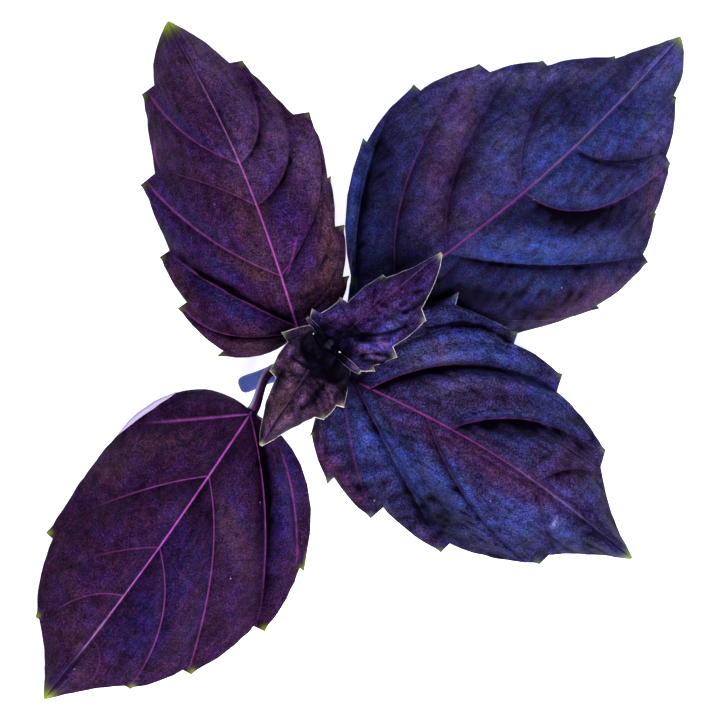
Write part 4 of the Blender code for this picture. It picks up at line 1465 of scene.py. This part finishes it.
    young_northeast = Leaf(
        **young, node="young_leaf_northeast", hue=Hue.VIOLET, seed=61,
        joint=young_joint, leave=41.2, clear=0.5,
        base=(-4.5, 3.1), heading=39.4, length=22.8,
        rib=(23.9, 24.8, 24.0, 21.8, 19.0),
        stations=(1.8, 4.1, 8.4, 14.0),
        left=Side(
            shoulder=(-3.8, 3.6),
            teeth=((0.7, 6.2, 1.3), (5.3, 4.8, 1.4, -0.05), (13.0, 3.3, 0.6)),
            taper=-0.03,
            veins=(Vein(0.9, dip=1.2), Vein(1.9, dip=1.2), Vein(2.95, dip=0.8), Vein(3.4, dip=0.4)),
            edge=(23.8, 23.0, 22.0, 20.8, 19.0),
            rim=(0.9, 1.0, 1.0, 1.0),
        ),
        right=Side(
            shoulder=(-2.8, 4.5),
            teeth=((2.15, 7.85, 0.8), (6.3, 8.3, 1.6), (13.7, 6.8, 2.0)),
            veins=(Vein(0.8, dip=1.5), Vein(1.9, dip=1.3), Vein(2.95), Vein(3.4, dip=0.5)),
            edge=(23.4, 22.6, 21.4, 20.4, 19.0),
            rim=(0.8, 0.9, 1.0, 1.0),
        ),
        neck=1.9, midrib_ink=(0.3, 0.5, 0.5, 0.3), midrib_width=0.14, tip_reach=0.8,
        # bluish tint, partly painted highlight
        blue_and_highlight=((1.3, 2.4, 2.6, 0.7, 1.0, -15), (6.5, 6.6, 3, 0.9, 0.6, 20), (-3.2, 7.5, 1.2, 0.6, 0.7),),
        warm=((3, 9.5, 6, 2.2, 0.8, 30), (-3, 7, 2.5, 1.5, 0.6),),
        # painted shade
        painted_shade=((-1.5, 5.2, 3.5, 1.5, 0.5, 20), (2.5, -0.6, 2.5, 0.6, 0.5, -25), SHOOT_SHADE,),
        pale=((1.6, 1.0, 2.2, 0.45, 0.4, -20), (3.6, 2.9, 1.6, 0.4, 0.35, -35),),
        creases=(
            Crease((-2.3, 4.4), (3.5, 3.6), (7.2, 5.7), 0.45, 0.45, shade=1.0),
            Crease((-1.5, 2.6), (1.5, 3.0), (4.5, 1.8), -0.25, 0.35),
            Crease((0, 0.9), (2, 1.6), (5, 0.8), 0.3, 0.35, shade=0.8),
            Crease((-1, 3.4), (2.4, 3.2), (4.8, 3.6), 0.3, 0.3, shade=0.7),
            Crease((0.2, 0.0), (1.8, 0.4), (3.6, -0.4), 0.25, 0.3, shade=0.6),
            Crease((3, 9.5), (5, 8.2), (7.5, 8.0), 0.25, 0.35, shade=0.6),
            Crease((1, 6.6), (4.5, 7.0), (8.5, 8.6), 0.25, 0.3, shade=0.5),
            Crease((2, 8.5), (3.2, 10.2), (3.6, 11.8), 0.2, 0.3, shade=0.4),
            Crease((6, 11), (8.2, 10.8), (10.2, 11.8), 0.2, 0.3, shade=0.4),
        ),
    )
    bud_northwest = Leaf(
        **bud, node="bud_leaf_northwest", seed=71, leave=132.5, clear=0.6,
        base=(-5.9, 4.2), heading=134, length=3.4, bow=0.0, seated=(1, -1),
        rib=(25.25, 25.8, 26.1, 26.1, 25.9),
        stations=(1.4,),
        left=Side(
            shoulder=(-0.2, 0.45), teeth=((1.4, 0.45, 0.02),), veins=(Vein(0.9),),
            edge=(25.7, 27.2, 27.8, 27.3, 26.1), rim=(0.0, 0.7, 1.0, 1.0),
        ),
        right=Side(
            shoulder=(-0.2, 0.45), teeth=((1.4, 0.45, 0.02),), veins=(Vein(0.9),),
            edge=(25.7, 27.0, 27.5, 27.1, 26.1), rim=(0.0, 0.5, 0.8, 1.0),
        ),
        # painted shade round the shoot
        painted_shade=((-5.4, 3, 3.5, 3.5, 1.0),),
    )
    bud_southeast = Leaf(
        **bud, node="bud_leaf_southeast", seed=79, leave=-60.3, clear=0.5,
        base=(-4.0, 1.5), heading=-39.3, length=4.75, bow=0.3,
        rib=(25.25, 25.8, 25.9, 25.3, 24.4),
        stations=(1.8,),
        left=Side(
            shoulder=(-0.2, 0.5), teeth=((2.0, 0.62, 0.02),), veins=(Vein(0.9),),
            edge=(25.7, 27.4, 27.6, 26.5, 24.6), rim=(0.0, 0.8, 1.0, 1.0),
        ),
        right=Side(
            shoulder=(-0.2, 0.5), teeth=((2.0, 0.62, 0.02),), veins=(Vein(0.9),),
            edge=(25.7, 27.2, 27.3, 26.2, 24.6), rim=(0.0, 0.8, 1.0, 1.0),
        ),
        # painted shade round the shoot
        painted_shade=((-4.6, 2, 3.5, 3.5, 1.0),),
    )
    return (
        northeast, southwest, northwest, southeast,
        young_southwest, young_northeast, bud_northwest, bud_southeast,
    )


# --------------------------------------------------------------------------- stem and shoot tip


@dataclass(frozen=True)
class StemFinish:
    """Young basil stem: a square green core under a downy violet-blue skin, dark at the shoot."""

    name: str = "violet_stem_skin"
    skin: str = "#5566b2"
    streak: str = "#41478e"
    # the shoot's dark colour, partly its own and partly painted shade in the crown's hollow
    shoot: str = "#0a0a1e"
    shoot_height: float = 0.0195
    shoot_fade: float = 0.009
    roughness: float = 0.55

    def material(self) -> bpy.types.Material:
        """Streaks about 0.7 mm wide from noise, darkening towards the shoot's height.

        Returns:
            The finished material.
        """
        material, tree, output = empty_material(self.name)
        add = partial(add_node, tree)
        place = add("ShaderNodeTexCoord").outputs["Object"]
        noise = {"Vector": place, "Scale": 1400.0, "Detail": 3.0}
        streaks = add("ShaderNodeTexNoise", noise).outputs["Fac"]
        # darker towards the shoot's height: partly the shoot's own colour, partly painted shade
        height = add("ShaderNodeSeparateXYZ", {"Vector": place}).outputs["Z"]
        low = self.shoot_height - self.shoot_fade
        climb = {"Value": height, "From Min": low, "From Max": self.shoot_height}
        dark = add("ShaderNodeMapRange", climb).outputs[0]
        colour = linear(self.streak)
        for factor, over in ((streaks, self.skin), (dark, self.shoot)):
            sockets = {"Factor": factor, 6: colour, 7: linear(over)}
            colour = add("ShaderNodeMix", sockets, data_type="RGBA").outputs[2]
        relief = {"Height": streaks, "Strength": 0.4, "Distance": 0.0001}
        skin = {
            "Base Color": colour,
            "Roughness": self.roughness,
            "Normal": add("ShaderNodeBump", relief).outputs["Normal"],
            "Specular IOR Level": 0.1,
        }
        shader = add("ShaderNodeBsdfPrincipled", skin)
        tree.links.new(shader.outputs[0], output.inputs["Surface"])
        return material


@dataclass(frozen=True)
class Stem:
    """The square stem, from its cut end up through the leaf joints, and the shoot tip above it.

    waist is the stem's thickness between joints as a share of that at a joint, rounding how far
    the cut end rounds off, and keel how deeply the shoot tip is waisted between its four keels.
    """

    node: str = "main_stem"
    tip_node: str = "shoot_tip"
    joints: tuple[Row, ...] = STEM_JOINTS
    waist: float = 0.84
    rounding: float = 1.8
    keel: float = 0.12
    rings: int = 160
    around: int = 48

    def stalk(self) -> bpy.types.Object:
        """Carries a rounded square along the stem's curve and closes both ends.

        Section: at angle q the radius is (|cos q|^4 + |sin q|^4)^(-1/4), a rounded square, times
        the half-thickness, which swells at each joint and rounds off over the cut end.

        Returns:
            The stem's object, dressed and in place.
        """
        share = np.linspace(0, 1, self.rings) ** 1.3
        columns = list(zip(*self.joints))
        route = np.stack([eased(column, share) for column in columns[:3]], axis=1)
        place = share * (len(self.joints) - 1)
        size = np.interp(place, np.arange(len(self.joints)), columns[3])
        size = size * (self.waist + (1 - self.waist) * np.cos(math.pi * place) ** 4)
        gone = np.linalg.norm(route - route[0], axis=1) / self.rounding
        size = size * np.sqrt(1 - 0.85 * np.clip(1 - gone, 0, 1) ** 2)
        ahead = np.gradient(route, axis=0)
        ahead /= np.linalg.norm(ahead, axis=1, keepdims=True)
        side = np.cross(ahead, np.array([0.0, 0.0, 1.0]))
        side /= np.linalg.norm(side, axis=1, keepdims=True)
        up = np.cross(side, ahead)
        q = np.linspace(0, 2 * math.pi, self.around, endpoint=False)
        section = (np.abs(np.cos(q)) ** 4 + np.abs(np.sin(q)) ** 4) ** -0.25
        ring = (
            route[:, None]
            + (size[:, None] * section * np.cos(q))[..., None] * side[:, None]
            + (size[:, None] * section * np.sin(q))[..., None] * up[:, None]
        )
        caps = np.stack([route[0] - 0.05 * ahead[0], route[-1] + 0.2 * ahead[-1]])
        points = np.concatenate([ring.reshape(-1, 3), caps])
        points += seat(points, self.node)
        count = self.rings * self.around
        faces = grid_faces(self.rings, self.around, 0, flip=True, around=True).tolist()
        faces += fan_faces(self.around, 0, count, flip=True)
        faces += fan_faces(self.around, count - self.around, count + 1, flip=False)
        return make_object("main_stem_skin", points, faces)

    def shoot(self) -> bpy.types.Object:
        """Folds the newest leaves into one small bud: an upright ellipsoid with four soft keels.

        Returns:
            The bud's object, in place.
        """
        low, high = (np.array(corner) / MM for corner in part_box(self.tip_node))
        middle, half = (low + high) / 2, (high - low) / 2
        turns, levels = 32, 22
        tilt = np.linspace(0, math.pi, levels + 2)[1:-1][:, None]
        q = np.linspace(0, 2 * math.pi, turns, endpoint=False)[None, :]
        waist = np.sin(tilt) * (1 - self.keel * np.cos(2 * q) ** 2)
        ring = np.stack([waist * np.cos(q), waist * np.sin(q), np.cos(tilt) + 0 * q], axis=-1)
        unit = np.concatenate([ring.reshape(-1, 3), [(0, 0, 1.0), (0, 0, -1.0)]])
        count = levels * turns
        faces = grid_faces(levels, turns, 0, flip=False, around=True).tolist()
        faces += fan_faces(turns, 0, count, flip=False)
        faces += fan_faces(turns, count - turns, count + 1, flip=True)
        return make_object("shoot_tip_skin", middle + unit * half, faces)

    def build(self) -> dict[str, bpy.types.Object]:
        """Makes the stem and the bud, dressed in one finish.

        Returns:
            The pieces by the node that each stands for.
        """
        pieces = {self.node: self.stalk(), self.tip_node: self.shoot()}
        skin = StemFinish().material()
        for piece in pieces.values():
            piece.data.materials.append(skin)
        return pieces


# --------------------------------------------------------------------------- studio


@dataclass(frozen=True)
class Studio:
    """A pale lit table, soft lights and the camera straight above."""

    floor_size: float = 3.0
    floor_glow: float = 0.75
    view_width: float = 0.1193
    lens: float = 200.0
    sensor: float = 36.0
    target_height: float = 0.008
    camera_shift: Pair = (-0.00018, 0.00018)

    def floor(self) -> None:
        """Lays a large pale sheet, lit a little from below, under the sprig."""
        half = self.floor_size / 2 / MM
        corners = np.array([(-half, -half, 0), (half, -half, 0), (half, half, 0), (-half, half, 0)], float)
        sheet = make_object("floor", corners, [[0, 1, 2, 3]])
        material, tree, output = empty_material("pale_table")
        shader = add_node(
            tree,
            "ShaderNodeBsdfPrincipled",
            {
                "Base Color": linear("#f6f6f8"),
                "Roughness": 0.9,
                "Specular IOR Level": 0.1,
                "Emission Color": linear("#fbfcff"),
                "Emission Strength": self.floor_glow,
            },
        )
        tree.links.new(shader.outputs[0], output.inputs["Surface"])
        sheet.data.materials.append(material)

    def light(self, name: str, place: Row, size: float, watts: float, colour: str) -> None:
        """Adds a square soft light that faces the sprig.

        Args:
            name: The light's name.
            place: Its position in metres.
            size: Its side in metres.
            watts: Its power.
            colour: Its sRGB hex colour.
        """
        data = bpy.data.lights.new(name, "AREA")
        data.size, data.energy, data.color = size, watts, linear(colour)[:3]
        lamp = bpy.data.objects.new(name, data)
        lamp.location = place
        lamp.rotation_euler = (-Vector(place)).to_track_quat("-Z", "Y").to_euler()
        bpy.context.scene.collection.objects.link(lamp)

    def camera(self) -> None:
        """Hangs a long-lens camera straight above, with the sprig's north at the top."""
        data = bpy.data.cameras.new("camera")
        data.lens, data.sensor_width = self.lens, self.sensor
        distance = self.view_width * self.lens / self.sensor
        holder = bpy.data.objects.new("camera", data)
        holder.location = (*self.camera_shift, self.target_height + distance)
        data.clip_start, data.clip_end = 0.05, 10.0
        bpy.context.scene.collection.objects.link(holder)
        bpy.context.scene.camera = holder

    def world(self) -> None:
        """Fills the room with even pale light."""
        world = bpy.data.worlds.new("pale_room")
        world.use_nodes = True
        background = world.node_tree.nodes["Background"]
        background.inputs["Color"].default_value = linear("#eef0f6")
        background.inputs["Strength"].default_value = 0.28
        bpy.context.scene.world = world

    def build(self) -> None:
        """Sets up the camera, the floor and the lights."""
        self.camera()
        self.floor()
        self.world()
        self.light("south_window", (0.28, -0.50, 0.70), 0.45, 15.5, "#ffffff")
        self.light("north_fill", (-0.4, 0.6, 0.8), 0.6, 6.0, "#eef0ff")
        bpy.context.scene.view_settings.view_transform = "Standard"


def main() -> None:
    """Builds every piece round the frame and reports each one."""
    logging.basicConfig(level=logging.INFO, format="%(name)s: %(message)s")
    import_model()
    Studio().build()

    for leaf in leaves():
        piece = leaf.build()
        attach(piece, BODY)
        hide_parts(leaf.node)
        LOG.info("%s: %d faces", piece.name, len(piece.data.polygons))
    for node, piece in Stem().build().items():
        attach(piece, BODY)
        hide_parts(node)
        LOG.info("%s: %d faces", piece.name, len(piece.data.polygons))


if __name__ == "__main__":
    main()
